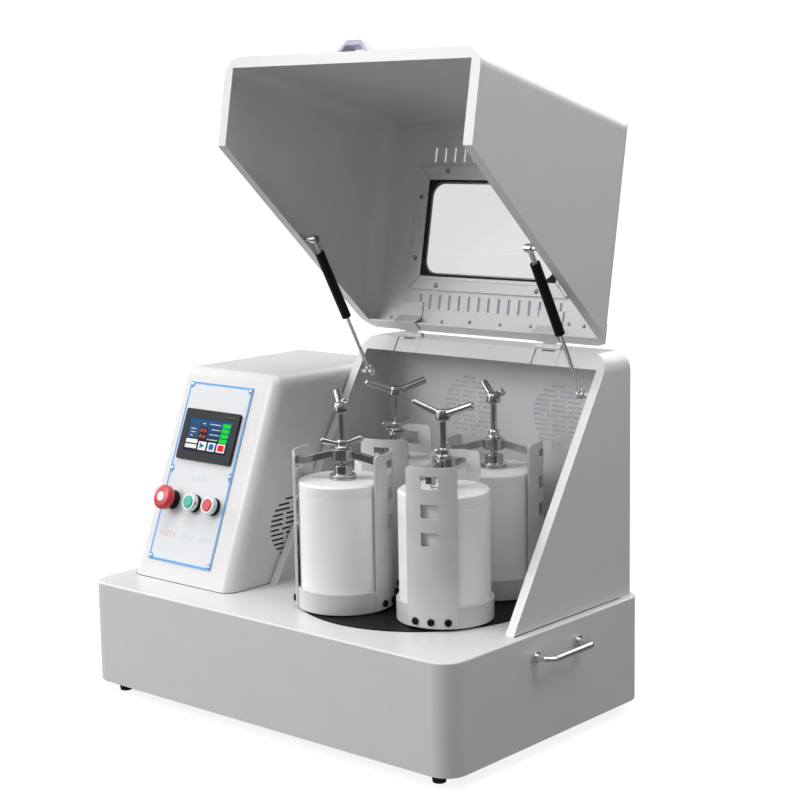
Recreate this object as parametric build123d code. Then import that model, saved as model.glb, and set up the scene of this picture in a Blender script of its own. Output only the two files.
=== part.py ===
from build123d import *
import os
from math import atan2, cos, degrees, hypot, pi, radians, sin, sqrt, tan

os.makedirs("parts", exist_ok=True)

# A bench-top planetary ball mill: a base cabinet with a turntable that carries four clamped
# jars, a rear housing with a hinged hood, and a control box beside them.
# Lengths are millimetres and angles are degrees. The origin is on the floor under the middle
# of the base, +X is to the operator's right, +Y is to the back and +Z is up.
# The hood is drawn closed and then swung open, which is how the mill stands here.

# General
sheet = 2.0                      # thickness of every folded cover
running_fit = 0.05               # radial gap around a shaft or pin that turns or slides
clear_gap = 0.3                  # gap between faces that pass each other

# Base cabinet and feet
base_length = 750.0
base_depth = 470.0
base_height = 163.4
base_corner_radius = 34.0
base_edge_radius = 3.0
base_plate_thickness = 3.0
foot_height = 18.0
foot_radius = 12.0
foot_tip_radius = 9.5
foot_inset_x = 45.0
foot_inset_y = 30.0
base_top = foot_height + base_height
plate_top = foot_height + base_plate_thickness

# Carrying handles on the two ends of the base
side_handle_radius = 5.0
side_handle_span = 102.0
side_handle_reach = 31.0
side_handle_bend = 12.0
side_handle_y = 7.0
side_handle_drop = 33.0          # below the top of the base
collar_radius = 8.5
collar_thickness = 5.0

# Power inlet in the back of the base
inlet_width = 48.0
inlet_height = 28.0
inlet_depth = 32.0
inlet_wall = 3.0
inlet_x = -250.0
inlet_rise = 70.0
inlet_lip = 5.0

# Rear housing: an open-fronted hood that leans back along the seam
housing_x = 119.5
housing_width = 486.0
housing_rise = 375.6             # above the top of the base
housing_back_y = 216.0
seam_start_y = -77.0
seam_lean = 32.5                 # back from vertical
cover_edge_radius = 28.0
housing_flange = 15.0
housing_top_flange = 22.0
housing_top = base_top + housing_rise
housing_left = housing_x - housing_width / 2
housing_right = housing_x + housing_width / 2

# Round ventilation grilles made of short slots
grille_rows = (1, 2, 2, 3, 3, 3, 4, 3, 3, 3, 2, 2, 1)
grille_pitch = 7.8
grille_radius = 48.5
grille_slot_height = 3.2
grille_web = 6.0
housing_grille_x = (53.0, 231.0)
housing_grille_rise = 263.6
box_grille_y = -20.0
box_grille_rise = 83.0

# Hood
hood_floor_gap = 1.0
hood_seam_gap = 2.0
hood_front_y = -211.0
hood_front_lean = 4.5
hood_flange = 16.0
hood_fold_radius = 5.0
hood_open_angle = 100.5

# Hood hinges: double-bent leaves and a barrel that lies in notches of both covers
hinge_back = 5.7                 # barrel axis behind the top of the seam
hinge_above = 3.0                # and above the housing's top
hinge_x = (-28.0, 249.0)
leaf_width = 45.0
leaf_thickness = 2.5
leaf_run = 30.0
leaf_foot = 24.0
barrel_radius = 5.5
hinge_pin_radius = 3.0
knuckle_middle = 22.4
notch_width = 48.0
notch_depth = 29.0
lower_leaf_offset = 0.8
upper_leaf_offset = 4.25

# Viewing window and air slots in the hood's upper panel, measured from the hinge edge
window_start = 66.5
frame_length = 314.0
frame_height = 199.0
frame_strip = 22.0
frame_thickness = 6.0
frame_mitre_gap = 0.4
gasket_lip = 6.0
gasket_thickness = 2.0
gasket_corner = 22.0
glass_thickness = 4.0
glass_play = 1.0
air_slot_count = 15
air_slot_pitch = 19.8
air_slot_shift = 7.0             # of both rows towards the right
air_slot_length = 24.0
air_slot_width = 5.0
air_slot_near = 36.0
air_slot_far = 272.0

# Bridge handle on the hood's front panel, measured up from that panel's lower edge
handle_rise = 22.0
handle_depth = 24.0
handle_span = 66.0
handle_top_span = 26.0
handle_reach = 20.0
handle_bar = 8.0

# Gas struts between the hood and the housing
strut_inset = 30.5               # from each side wall to the plane of the strut
strut_hood_y = 36.0
strut_hood_rise = 192.8
strut_housing_y = 135.0
strut_housing_rise = 317.6
strut_neck = 25.0
strut_neck_radius = 4.0
strut_tube_length = 123.0
strut_tube_radius = 7.5
strut_tube_wall = 1.3
strut_cap = 3.0
strut_rod_radius = 3.0
strut_piston_length = 4.0
strut_insertion = 21.0
strut_eye_radius = 6.5
strut_eye_width = 10.0
strut_socket_length = 10.0
strut_socket_radius = 5.5
stud_radius = 3.5
stud_flange_radius = 6.0
stud_flange_thickness = 3.0
stud_head_radius = 5.5
stud_head_thickness = 2.0
stud_end_gap = 0.5

# Control box
box_left = -355.5
box_right = -126.0
box_front_y = -164.0
box_back_y = 225.0
box_rise = 326.6
box_lean = 21.4                  # of its front face, back from vertical
box_edge_radius = 22.0
box_top = base_top + box_rise

# Front panel of the control box; heights run up the slope from the base
panel_x = -250.1
panel_width = 145.2
panel_low = 29.8
panel_height = 297.2
panel_thickness = 1.5
screen_x = -249.5
screen_rise = 240.0
screen_width = 125.0
screen_height = 84.0
screen_proud = 5.0
screen_corner = 4.0
screen_body_inset = 4.0
screen_body_depth = 28.0
display_width = 99.0
display_height = 54.0
display_recess = 1.2
display_thickness = 0.8
button_rise = 130.0
estop_x = -297.6
start_x = -246.5
stop_x = -202.7
bezel_radius = 14.5
bezel_base = 8.0                 # dark collar under the bright ring
bezel_proud = 17.0
barrel_outer_radius = 12.0
button_barrel_depth = 28.0
button_floor = 2.0
button_radius = 10.0
button_proud = 17.6
button_travel = 3.0
button_edge = 1.0
estop_radius = 20.0
estop_stem_radius = 7.5
estop_collar_proud = 11.0
estop_head_low = 17.0
estop_head_high = 31.0
estop_edge = 5.0
estop_travel = 4.0

# Motor and belt drive in the base
motor_x = -240.0
motor_radius = 70.0
motor_height = 190.0
motor_flange_radius = 85.0
motor_flange_thickness = 10.0
motor_flange_rise = 39.0         # its underside above the base plate
motor_opening = 6.0              # gap around the motor where it passes the base's top
motor_post_radius = 7.0
motor_post_circle = 75.0
motor_shaft_radius = 12.0
motor_socket = 34.0
belt_thickness = 4.0
belt_width = 19.4
pulley_face = 20.0
pulley_rim = 2.0
pulley_rim_height = 5.0
pulley_rise = 6.0                # lower rim above the base plate
motor_pulley_radius = 30.0
spindle_pulley_radius = 75.0

# Turntable, its spindle and the fixed sun gear
turntable_x = 120.0
turntable_y = 8.5
turntable_radius = 185.0
turntable_opening_gap = 2.0
turntable_thickness = 12.4
turntable_proud = 1.0
spindle_radius = 20.0
spindle_tail = 4.0
hub_radius = 35.0
hub_height = 20.0
bridge_length = 224.0
bridge_depth = 236.0
bridge_thickness = 10.0
bridge_rise = 41.0               # its underside above the base plate
bridge_post_radius = 8.0
bridge_post_inset = 13.0
bearing_radius = 45.0
bearing_height = 26.0
gear_module = 3.0
gear_thickness = 16.0
gear_pressure_angle = 20.0
gear_thinning = 0.08             # share of the pitch taken off each tooth as backlash
sun_teeth = 54
sun_bore_radius = 28.0
pinion_teeth = 26
orbit_radius = gear_module * (sun_teeth + pinion_teeth) / 2
turntable_top = base_top + turntable_proud
turntable_underside = turntable_top - turntable_thickness
gear_bottom = plate_top + bridge_rise + bridge_thickness + bearing_height

# Planets: orbit angle at rest, and the way the uprights face, clockwise of it
first_orbit_angle = 237.5
planet_count = 4
upright_lag = 34.0
planet_shaft_radius = 12.5
planet_boss_radius = 24.0
planet_shoulder_radius = 17.0
planet_flange_radius = 30.0
planet_flange_thickness = 1.7

# Jar holder
cup_radius = 72.0
cup_height = 31.0
cup_floor = 8.0
upright_thickness = 3.0
upright_half_angle = 30.5
upright_start = 1.6              # above the cup's underside
upright_height = 234.0
upright_corner = 7.0
window_width = 27.0
window_height = 20.0
window_drops = (12.0, 53.6, 94.5)  # tops of the windows below the upright's top

# Grinding jar and its lid
jar_radius = 67.6
jar_height = 165.6
jar_wall = 9.0
jar_floor = 10.0
jar_lid_height = 18.1
jar_lid_edge = 2.5
cup_play = 0.4

# Clamp: pressure pad, crossbar, screw with its T handle, lock nut
pad_radius = 20.0
pad_flange_height = 7.5
pad_boss_radius = 14.0
pad_height = 21.5
pad_socket = 9.0
pad_travel = 6.0
crossbar_gap = 7.4               # above the pad's boss
crossbar_radius = 16.5
crossbar_height = 17.0
arm_width = 9.0
arm_height = 11.0
arm_tip_radius = 77.0
arm_knee_radius = 60.0
screw_radius = 5.0
nut_radius = 9.5
nut_height = 13.2
nut_wing_reach = 30.0
nut_wing_radius = 5.0
nut_wing_thickness = 6.0
nut_wing_slope = 15.0
nut_wing_rise = 5.5
grip_hub_radius = 8.75
grip_hub_height = 15.0
grip_hub_rise = 55.0             # above the crossbar's top
grip_bar_radius = 5.0
grip_bar_reach = 48.0
grip_bar_slope = 20.0
grip_bar_rise = 6.5
# Plan angles at rest of each planet's T handle and lock nut
grip_angles = (140.0, 13.0, 145.0, 53.0)
nut_angles = (55.0, 111.0, 131.0, 90.0)


def save(name, solids):
    """Write one node as a group of separate solids."""
    pieces = []
    for item in solids:
        pieces.extend(item.solids())
    export_step(Compound(label=name, children=pieces), "parts/" + name + ".step")


def post(x, y, z_low, z_high, radius):
    """A round bar that stands along Z."""
    return Pos(x, y, (z_low + z_high) / 2) * Cylinder(radius, z_high - z_low)


def pin_x(x_low, x_high, y, z, radius):
    """A round bar that lies along X."""
    return Pos((x_low + x_high) / 2, y, z) * Rot(0, 90, 0) * Cylinder(radius, abs(x_high - x_low))


def block(x_low, x_high, y_low, y_high, z_low, z_high):
    """A box between two corners."""
    size = Box(x_high - x_low, y_high - y_low, z_high - z_low)
    return Pos((x_low + x_high) / 2, (y_low + y_high) / 2, (z_low + z_high) / 2) * size


def slab(corners, x_low, x_high):
    """A side profile of (y, z) corners, drawn out along X."""
    outline = Polyline([(x_low, y, z) for y, z in corners], close=True)
    return extrude(make_face(outline), x_high - x_low, dir=(1, 0, 0))


def inset(corners, margins):
    """Move each side of a clockwise (y, z) profile inward by its margin, or outward if negative."""
    lines = []
    for index, start in enumerate(corners):
        end = corners[(index + 1) % len(corners)]
        length = hypot(end[0] - start[0], end[1] - start[1])
        along = ((end[0] - start[0]) / length, (end[1] - start[1]) / length)
        point = (start[0] + along[1] * margins[index], start[1] - along[0] * margins[index])
        lines.append((point, along))
    moved = []
    for index, (point, along) in enumerate(lines):
        last_point, last_along = lines[index - 1]
        turn = last_along[0] * along[1] - last_along[1] * along[0]
        step_y = point[0] - last_point[0]
        step_z = point[1] - last_point[1]
        reach = (step_y * along[1] - step_z * along[0]) / turn
        moved.append((last_point[0] + last_along[0] * reach, last_point[1] + last_along[1] * reach))
    return moved


def round_near(solid, points, radius):
    """Round the edges that pass nearest to the given points."""
    return fillet([solid.edges().sort_by_distance(point)[0] for point in points], radius)


def cover_block(corners, x_low, x_high, rounded_sides, radius):
    """A profile drawn out along X, with its two end edges rounded beside the named sides."""
    solid = slab(corners, x_low, x_high)
    middles = []
    for side in rounded_sides:
        start = corners[side]
        end = corners[(side + 1) % len(corners)]
        for x in (x_low, x_high):
            middles.append((x, (start[0] + end[0]) / 2, (start[1] + end[1]) / 2))
    return round_near(solid, middles, radius)


def grille():
    """The slots of one round grille: across, up and length of each, about its middle."""
    slots = []
    middle_row = (len(grille_rows) - 1) / 2
    for row, count in enumerate(grille_rows):
        up = (middle_row - row) * grille_pitch
        chord = 2 * sqrt(grille_radius ** 2 - up ** 2)
        length = (chord - (count - 1) * grille_web) / count
        for place in range(count):
            across = (place - (count - 1) / 2) * (length + grille_web)
            slots.append((across, up, length))
    return slots


# --- Base -------------------------------------------------------------------------------

def make_base_cabinet():
    footprint = RectangleRounded(base_length, base_depth, base_corner_radius)
    outer = extrude(Pos(0, 0, foot_height) * footprint, base_height)
    outer = fillet(outer.faces().sort_by(Axis.Z)[-1].edges(), base_edge_radius)
    inside = RectangleRounded(base_length - 2 * sheet, base_depth - 2 * sheet,
                              base_corner_radius - sheet)
    shell = outer - extrude(Pos(0, 0, foot_height) * inside, base_height - sheet)
    disc_hole = turntable_radius + turntable_opening_gap
    shell -= post(turntable_x, turntable_y, base_top - 3 * sheet, base_top + sheet, disc_hole)
    motor_hole = motor_radius + motor_opening
    shell -= post(motor_x, turntable_y, base_top - 3 * sheet, base_top + sheet, motor_hole)
    inlet_z = foot_height + inlet_rise
    shell -= block(inlet_x - inlet_width / 2, inlet_x + inlet_width / 2,
                   base_depth / 2 - 3 * sheet, base_depth / 2 + sheet,
                   inlet_z - inlet_height / 2, inlet_z + inlet_height / 2)
    return [shell]


def make_base_plate():
    footprint = RectangleRounded(base_length - 2 * sheet, base_depth - 2 * sheet,
                                 base_corner_radius - sheet)
    return [extrude(Pos(0, 0, foot_height) * footprint, base_plate_thickness)]


def make_feet():
    feet = []
    for x in (-1, 1):
        for y in (-1, 1):
            spot = Pos(x * (base_length / 2 - foot_inset_x), y * (base_depth / 2 - foot_inset_y),
                       foot_height / 2)
            feet.append(spot * Cone(foot_tip_radius, foot_radius, foot_height))
    return feet


def make_side_handles():
    pieces = []
    z = base_top - side_handle_drop
    for side in (-1, 1):
        wall = side * base_length / 2
        outer = wall + side * side_handle_reach
        y_near = side_handle_y - side_handle_span / 2
        y_far = side_handle_y + side_handle_span / 2
        route = FilletPolyline((wall, y_near, z), (outer, y_near, z), (outer, y_far, z),
                               (wall, y_far, z), radius=side_handle_bend)
        start = Plane(origin=(wall, y_near, z), z_dir=(side, 0, 0))
        bar = sweep(start * Circle(side_handle_radius), path=route)
        for y in (y_near, y_far):
            collar = pin_x(min(wall, wall + side * collar_thickness),
                           max(wall, wall + side * collar_thickness), y, z, collar_radius)
            bar += collar
        pieces.append(bar)
    return pieces


def make_power_inlet():
    z = foot_height + inlet_rise
    back = base_depth / 2
    half_width = inlet_width / 2
    half_height = inlet_height / 2
    body = block(inlet_x - half_width, inlet_x + half_width, back - inlet_depth, back,
                 z - half_height, z + half_height)
    lip = block(inlet_x - half_width - inlet_lip, inlet_x + half_width + inlet_lip,
                back - sheet - inlet_wall, back - sheet,
                z - half_height - inlet_lip, z + half_height + inlet_lip)
    socket = block(inlet_x - half_width + inlet_wall, inlet_x + half_width - inlet_wall,
                   back - inlet_depth + inlet_wall, back + 1,
                   z - half_height + inlet_wall, z + half_height - inlet_wall)
    return [body + lip - socket]


# --- Hood frame: the seam, the hinge axis and the swing ------------------------------------

def seam_y(z):
    """The seam plane of the housing at a height."""
    return seam_start_y + tan(radians(seam_lean)) * (z - base_top)


hinge_y = seam_y(housing_top) + hinge_back
hinge_z = housing_top + hinge_above
housing_corners = [(seam_start_y, base_top), (seam_y(housing_top), housing_top),
                   (housing_back_y, housing_top), (housing_back_y, base_top)]

hood_bottom = base_top + hood_floor_gap
hood_shift = hood_seam_gap / cos(radians(seam_lean))
hood_top_front_y = hood_front_y + tan(radians(hood_front_lean)) * (housing_top - hood_bottom)
hood_edge_y = seam_y(housing_top) - hood_shift
hood_corners = [(hood_front_y, hood_bottom), (hood_top_front_y, housing_top),
                (hood_edge_y, housing_top), (seam_y(hood_bottom) - hood_shift, hood_bottom)]
hood_axis = Axis((0, hinge_y, hinge_z), (1, 0, 0))


def swing_open(solid):
    """Turn a piece of the closed hood to where it stands open."""
    return solid.rotate(hood_axis, -hood_open_angle)


def open_point(y, z):
    """Where a point of the closed hood's side view lies when it is open."""
    turn = radians(-hood_open_angle)
    rel_y = y - hinge_y
    rel_z = z - hinge_z
    return (hinge_y + rel_y * cos(turn) - rel_z * sin(turn),
            hinge_z + rel_y * sin(turn) + rel_z * cos(turn))


def from_hinge(along, out):
    """A point at a distance up the seam from the hinge axis, and out to the front of it."""
    lean = radians(seam_lean)
    return (hinge_y + along * sin(lean) - out * cos(lean),
            hinge_z + along * cos(lean) + out * sin(lean))


def strut_side(side):
    """Inner face of a side wall, and the plane of the strut beside it."""
    wall = housing_x + side * (housing_width / 2 - sheet)
    return wall, wall - side * strut_inset


strut_hood_z = base_top + strut_hood_rise
strut_housing_z = base_top + strut_housing_rise


def stud(side, y, z, reach, headed):
    """A welded stud that points inward from a side wall."""
    wall, plane = strut_side(side)
    flange_end = wall - side * stud_flange_thickness
    solid = pin_x(min(wall, flange_end), max(wall, flange_end), y, z, stud_flange_radius)
    end = plane + side * reach
    solid += pin_x(min(wall, end), max(wall, end), y, z, stud_radius)
    if headed:
        head_end = end - side * stud_head_thickness
        solid += pin_x(min(end, head_end), max(end, head_end), y, z, stud_head_radius)
    return solid


# --- Rear housing ---------------------------------------------------------------------------

def make_rear_housing():
    left, right = housing_left, housing_right
    outer = cover_block(housing_corners, left, right, (1,), cover_edge_radius)
    hollow = cover_block(inset(housing_corners, [sheet] * 4), left + sheet, right - sheet, (1,),
                         cover_edge_radius - sheet)
    beyond = -60.0
    mouth = slab(inset(housing_corners, [beyond, housing_top_flange, housing_flange, beyond]),
                 left + housing_flange, right - housing_flange)
    shell = outer - hollow - mouth
    for x in hinge_x:
        shell -= block(x - notch_width / 2, x + notch_width / 2, hinge_y - notch_depth,
                       hinge_y + barrel_radius + sheet - 0.5, housing_top - notch_depth,
                       housing_top + sheet)
    for grille_x in housing_grille_x:
        slots = []
        for across, up, length in grille():
            x = grille_x + across
            z = base_top + housing_grille_rise + up
            slots.append(block(x - length / 2, x + length / 2, housing_back_y - 2 * sheet,
                               housing_back_y + sheet, z - grille_slot_height / 2,
                               z + grille_slot_height / 2))
        shell -= slots
    pieces = [shell]
    for side in (-1, 1):
        reach = strut_eye_width / 2 + stud_end_gap
        pieces.append(stud(side, strut_housing_y, strut_housing_z, reach, False))
    return pieces


# --- Hinges ---------------------------------------------------------------------------------

def bent_strip(path, x_low, x_high):
    """A flat leaf folded along a path of (y, z) points."""
    profile = Sketch()
    half = leaf_thickness / 2
    for start, end in zip(path, path[1:]):
        length = hypot(end[0] - start[0], end[1] - start[1])
        middle = Pos((start[0] + end[0]) / 2, (start[1] + end[1]) / 2)
        angle = degrees(atan2(end[1] - start[1], end[0] - start[0]))
        profile += middle * Rot(0, 0, angle) * Rectangle(length, leaf_thickness)
    for point in path[1:-1]:
        profile += Pos(*point) * Circle(half)
    return extrude(Plane(origin=(x_low, 0, 0), x_dir=(0, 1, 0), z_dir=(1, 0, 0)) * profile,
                   x_high - x_low)


def lower_leaf_path():
    under_top = housing_top - sheet - leaf_thickness / 2
    bend = from_hinge(-leaf_run, lower_leaf_offset)
    back_start = hinge_y + barrel_radius + 2.5
    return [from_hinge(0, lower_leaf_offset), bend, (bend[0] + leaf_foot / 2, bend[1]),
            (back_start, under_top), (back_start + leaf_foot, under_top)]


def upper_leaf_path():
    under_top = housing_top - sheet - leaf_thickness / 2
    bend = from_hinge(-leaf_run, upper_leaf_offset)
    foot_start = bend[0] - 11.0
    return [from_hinge(0, upper_leaf_offset), bend, (foot_start, under_top),
            (foot_start - leaf_foot, under_top)]


def hinge_lower(x):
    """The leaf on the housing with its two outer knuckles, and the pin."""
    leaf = bent_strip(lower_leaf_path(), x - leaf_width / 2, x + leaf_width / 2)
    leaf += pin_x(x - leaf_width / 2, x + leaf_width / 2, hinge_y, hinge_z, barrel_radius)
    gap_half = knuckle_middle / 2 + clear_gap
    middle_gap = pin_x(x - gap_half, x + gap_half, hinge_y, hinge_z,
                       barrel_radius + 2 * clear_gap + 2.0)
    leaf -= middle_gap
    leaf -= pin_x(x - leaf_width, x + leaf_width, hinge_y, hinge_z, hinge_pin_radius)
    pin = pin_x(x - leaf_width / 2, x + leaf_width / 2, hinge_y, hinge_z, hinge_pin_radius)
    return [leaf, pin]


def hinge_upper(x):
    """The hood's leaf: narrow beside the barrel, then full width, with the middle knuckle."""
    path = upper_leaf_path()
    half = leaf_width / 2
    narrow = knuckle_middle / 2
    leaf = bent_strip(path, x - half, x + half)
    for side in (-1, 1):
        inner = x + side * narrow
        outer = x + side * (half + 1)
        leaf -= pin_x(min(inner, outer), max(inner, outer), hinge_y, hinge_z,
                      barrel_radius + 3.0)
    leaf += pin_x(x - narrow, x + narrow, hinge_y, hinge_z, barrel_radius)
    leaf -= pin_x(x - half, x + half, hinge_y, hinge_z, hinge_pin_radius + running_fit)
    return [leaf]


def make_hinge_brackets():
    pieces = []
    for x in hinge_x:
        pieces.extend(hinge_lower(x))
    return pieces


def make_hinge_straps():
    pieces = []
    for x in hinge_x:
        pieces.extend(swing_open(item) for item in hinge_upper(x))
    return pieces


# --- Hood -----------------------------------------------------------------------------------

window_middle_y = hood_edge_y - window_start - frame_height / 2
clear_length = frame_length - 2 * frame_strip - 2 * gasket_lip
clear_height = frame_height - 2 * frame_strip - 2 * gasket_lip


def mitred_strip(length, height, z_low, z_high):
    """The lower strip of a picture frame round the window, with its two ends cut at 45 degrees."""
    half = length / 2 - frame_mitre_gap
    inner = half - frame_strip
    low = -height / 2
    corners = [(-half, low), (half, low), (inner, low + frame_strip), (-inner, low + frame_strip)]
    outline = make_face(Polyline(corners, close=True))
    return extrude(Pos(0, 0, z_low) * outline, z_high - z_low)


def make_lid_hood():
    left, right = housing_left, housing_right
    outer = cover_block(hood_corners, left, right, (0, 1), cover_edge_radius)
    outer = round_near(outer, [(housing_x, hood_top_front_y, housing_top)], hood_fold_radius)
    inner_corners = inset(hood_corners, [sheet] * 4)
    hollow = cover_block(inner_corners, left + sheet, right - sheet, (0, 1),
                         cover_edge_radius - sheet)
    hollow = round_near(hollow, [(housing_x,) + inner_corners[1]], hood_fold_radius - sheet)
    beyond = -60.0
    mouth = slab(inset(hood_corners, [hood_flange, hood_flange, beyond, beyond]),
                 left + hood_flange, right - hood_flange)
    shell = outer - hollow - mouth
    for x in hinge_x:
        shell -= block(x - notch_width / 2, x + notch_width / 2, hood_edge_y - notch_depth / 2,
                       hood_edge_y + sheet, housing_top - notch_depth, housing_top + sheet)
    opening = RectangleRounded(clear_length, clear_height, gasket_corner)
    shell -= extrude(Pos(housing_x, window_middle_y, housing_top - 2 * sheet) * opening, 3 * sheet)
    slots = []
    for start in (air_slot_near, air_slot_far):
        y = hood_edge_y - start - air_slot_length / 2
        for place in range(air_slot_count):
            x = housing_x + air_slot_shift + (place - (air_slot_count - 1) / 2) * air_slot_pitch
            slot = SlotOverall(air_slot_length, air_slot_width, rotation=90)
            slots.append(extrude(Pos(x, y, housing_top - 2 * sheet) * slot, 3 * sheet))
    shell -= slots
    pieces = [shell]
    for side in (-1, 1):
        reach = -strut_eye_width / 2 - clear_gap
        pieces.append(stud(side, strut_hood_y, strut_hood_z, reach, True))
    return [swing_open(item) for item in pieces]


def make_lid_window():
    length = frame_length - 2 * frame_strip - 2 * glass_play
    height = frame_height - 2 * frame_strip - 2 * glass_play
    top = housing_top - sheet
    glass = block(housing_x - length / 2, housing_x + length / 2, window_middle_y - height / 2,
                  window_middle_y + height / 2, top - glass_thickness, top)
    return [swing_open(glass)]


def make_window_frame():
    top = housing_top - sheet
    bottom = top - frame_thickness
    middle = Pos(housing_x, window_middle_y, 0)
    strips = []
    for turn in (0, 180):
        along = mitred_strip(frame_length, frame_height, bottom, top)
        across = mitred_strip(frame_height, frame_length, bottom, top)
        strips.append(middle * Rot(0, 0, turn) * along)
        strips.append(middle * Rot(0, 0, turn + 90) * across)
    ring = Rectangle(frame_length - 2 * frame_strip, frame_height - 2 * frame_strip)
    ring -= RectangleRounded(clear_length, clear_height, gasket_corner)
    gasket = extrude(middle * Pos(0, 0, bottom) * ring, gasket_thickness)
    return [swing_open(item) for item in strips + [gasket]]


def make_lid_handle():
    lean = radians(hood_front_lean)
    y = hood_front_y + sin(lean) * handle_rise
    z = hood_bottom + cos(lean) * handle_rise
    face = Plane(origin=(housing_x, y, z), x_dir=(1, 0, 0), z_dir=(0, -cos(lean), sin(lean)))
    # In this section the first number runs across the panel and the second one out of it.
    section = Plane(origin=face.origin - face.y_dir * handle_depth / 2, x_dir=face.x_dir,
                    z_dir=face.y_dir)
    half = handle_span / 2
    half_top = handle_top_span / 2
    out = -handle_reach if section.y_dir.dot(face.z_dir) < 0 else handle_reach
    bar = handle_bar if out > 0 else -handle_bar
    bow = Polyline((-half, 0), (-half_top, out), (half_top, out), (half, 0), close=True)
    gap = Polyline((-half + handle_bar * 1.2, 0), (-half_top - 1, out - bar),
                   (half_top + 1, out - bar), (half - handle_bar * 1.2, 0), close=True)
    profile = make_face(bow) - make_face(gap)
    return [swing_open(extrude(section * profile, handle_depth))]


# --- Gas struts -----------------------------------------------------------------------------

strut_top_y, strut_top_z = open_point(strut_hood_y, strut_hood_z)
strut_length = hypot(strut_housing_y - strut_top_y, strut_housing_z - strut_top_z)


def strut_frame(side):
    """Origin at the hood's stud, with Z down along the strut and X as in the mill."""
    plane_x = strut_side(side)[1]
    return Plane(origin=(plane_x, strut_top_y, strut_top_z), x_dir=(1, 0, 0),
                 z_dir=(0, strut_housing_y - strut_top_y, strut_housing_z - strut_top_z))


def eye(z):
    """The round end of a strut, about a stud along X."""
    half = strut_eye_width / 2
    return pin_x(-half, half, 0, z, strut_eye_radius)


def make_strut_tube(side):
    tube_end = strut_neck + strut_tube_length
    tube = eye(0) + post(0, 0, 0, strut_neck, strut_neck_radius)
    tube += post(0, 0, strut_neck, tube_end, strut_tube_radius)
    tube -= post(0, 0, strut_neck + strut_cap, tube_end - strut_cap,
                 strut_tube_radius - strut_tube_wall)
    tube -= post(0, 0, tube_end - 2 * strut_cap, tube_end + 1, strut_rod_radius + running_fit)
    tube -= pin_x(-strut_eye_width, strut_eye_width, 0, 0, stud_radius + running_fit)
    return [strut_frame(side) * tube]


def make_strut_rod(side):
    top = strut_neck + strut_tube_length - strut_insertion
    piston_radius = strut_tube_radius - strut_tube_wall - running_fit
    rod = post(0, 0, top, top + strut_piston_length, piston_radius)
    rod += post(0, 0, top, strut_length, strut_rod_radius)
    rod += post(0, 0, strut_length - strut_socket_length, strut_length, strut_socket_radius)
    rod += eye(strut_length)
    return [strut_frame(side) * rod]


# --- Control box ----------------------------------------------------------------------------

panel_face = Plane(origin=(0, box_front_y, base_top), x_dir=(1, 0, 0),
                   z_dir=(0, -cos(radians(box_lean)), sin(radians(box_lean))))


def on_panel(x, rise, low, high, radius):
    """A round bar square to the control panel, from one distance in front of it to another."""
    return panel_face * Pos(x, rise, (low + high) / 2) * Cylinder(radius, high - low)


def panel_block(x, rise, width, height, low, high, corner=0.0):
    """A plate or pocket square to the control panel."""
    shape = RectangleRounded(width, height, corner) if corner else Rectangle(width, height)
    return extrude(panel_face * Pos(x, rise, low) * shape, high - low)


def make_control_box():
    top_front_y = box_front_y + tan(radians(box_lean)) * box_rise
    corners = [(box_front_y, base_top), (top_front_y, box_top), (box_back_y, box_top),
               (box_back_y, base_top)]
    inner = inset(corners, [sheet, sheet, sheet, -sheet])
    middle_x = (box_left + box_right) / 2

    def rounded(profile, x_low, x_high, radius):
        solid = slab(profile, x_low, x_high)
        points = [(middle_x,) + profile[1]]
        for x in (x_low, x_high):
            for start, end in ((0, 1), (1, 2)):
                points.append((x, (profile[start][0] + profile[end][0]) / 2,
                               (profile[start][1] + profile[end][1]) / 2))
        return round_near(solid, points, radius)

    shell = rounded(corners, box_left, box_right, box_edge_radius)
    shell -= rounded(inner, box_left + sheet, box_right - sheet, box_edge_radius - sheet)
    slots = []
    for across, up, length in grille():
        y = box_grille_y + across
        z = base_top + box_grille_rise + up
        slots.append(block(box_right - 2 * sheet, box_right + sheet, y - length / 2,
                           y + length / 2, z - grille_slot_height / 2,
                           z + grille_slot_height / 2))
    shell -= slots
    shell -= panel_cutouts(-3 * sheet, sheet)
    return [shell]


def panel_cutouts(low, high):
    """The openings for the screen and the three buttons."""
    width = screen_width - 2 * screen_body_inset
    height = screen_height - 2 * screen_body_inset
    cuts = [panel_block(screen_x, screen_rise, width, height, low, high)]
    for x in (estop_x, start_x, stop_x):
        cuts.append(on_panel(x, button_rise, low, high, barrel_outer_radius))
    return cuts


def button_body(x, proud, bore_radius):
    """A button's fixed body: a collar on the panel and a closed barrel behind it."""
    collar = on_panel(x, button_rise, panel_thickness, panel_thickness + proud, bezel_radius)
    barrel = on_panel(x, button_rise, -button_barrel_depth, panel_thickness, barrel_outer_radius)
    bore = on_panel(x, button_rise, -button_barrel_depth + button_floor,
                    panel_thickness + proud + 1, bore_radius)
    return collar + barrel - bore


def make_control_panel():
    plate = panel_block(panel_x, panel_low + panel_height / 2, panel_width, panel_height, 0,
                        panel_thickness, 2.0)
    plate -= panel_cutouts(-sheet, 2 * sheet)
    pieces = [plate, button_body(estop_x, estop_collar_proud, estop_stem_radius + running_fit)]
    bore_radius = button_radius + running_fit
    for x in (start_x, stop_x):
        pieces.append(button_body(x, bezel_base, bore_radius))
        ring_low = panel_thickness + bezel_base
        ring_high = panel_thickness + bezel_proud
        ring = on_panel(x, button_rise, ring_low, ring_high, bezel_radius)
        ring -= on_panel(x, button_rise, ring_low - 1, ring_high + 1, bore_radius)
        pieces.append(ring)
    return pieces


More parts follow.
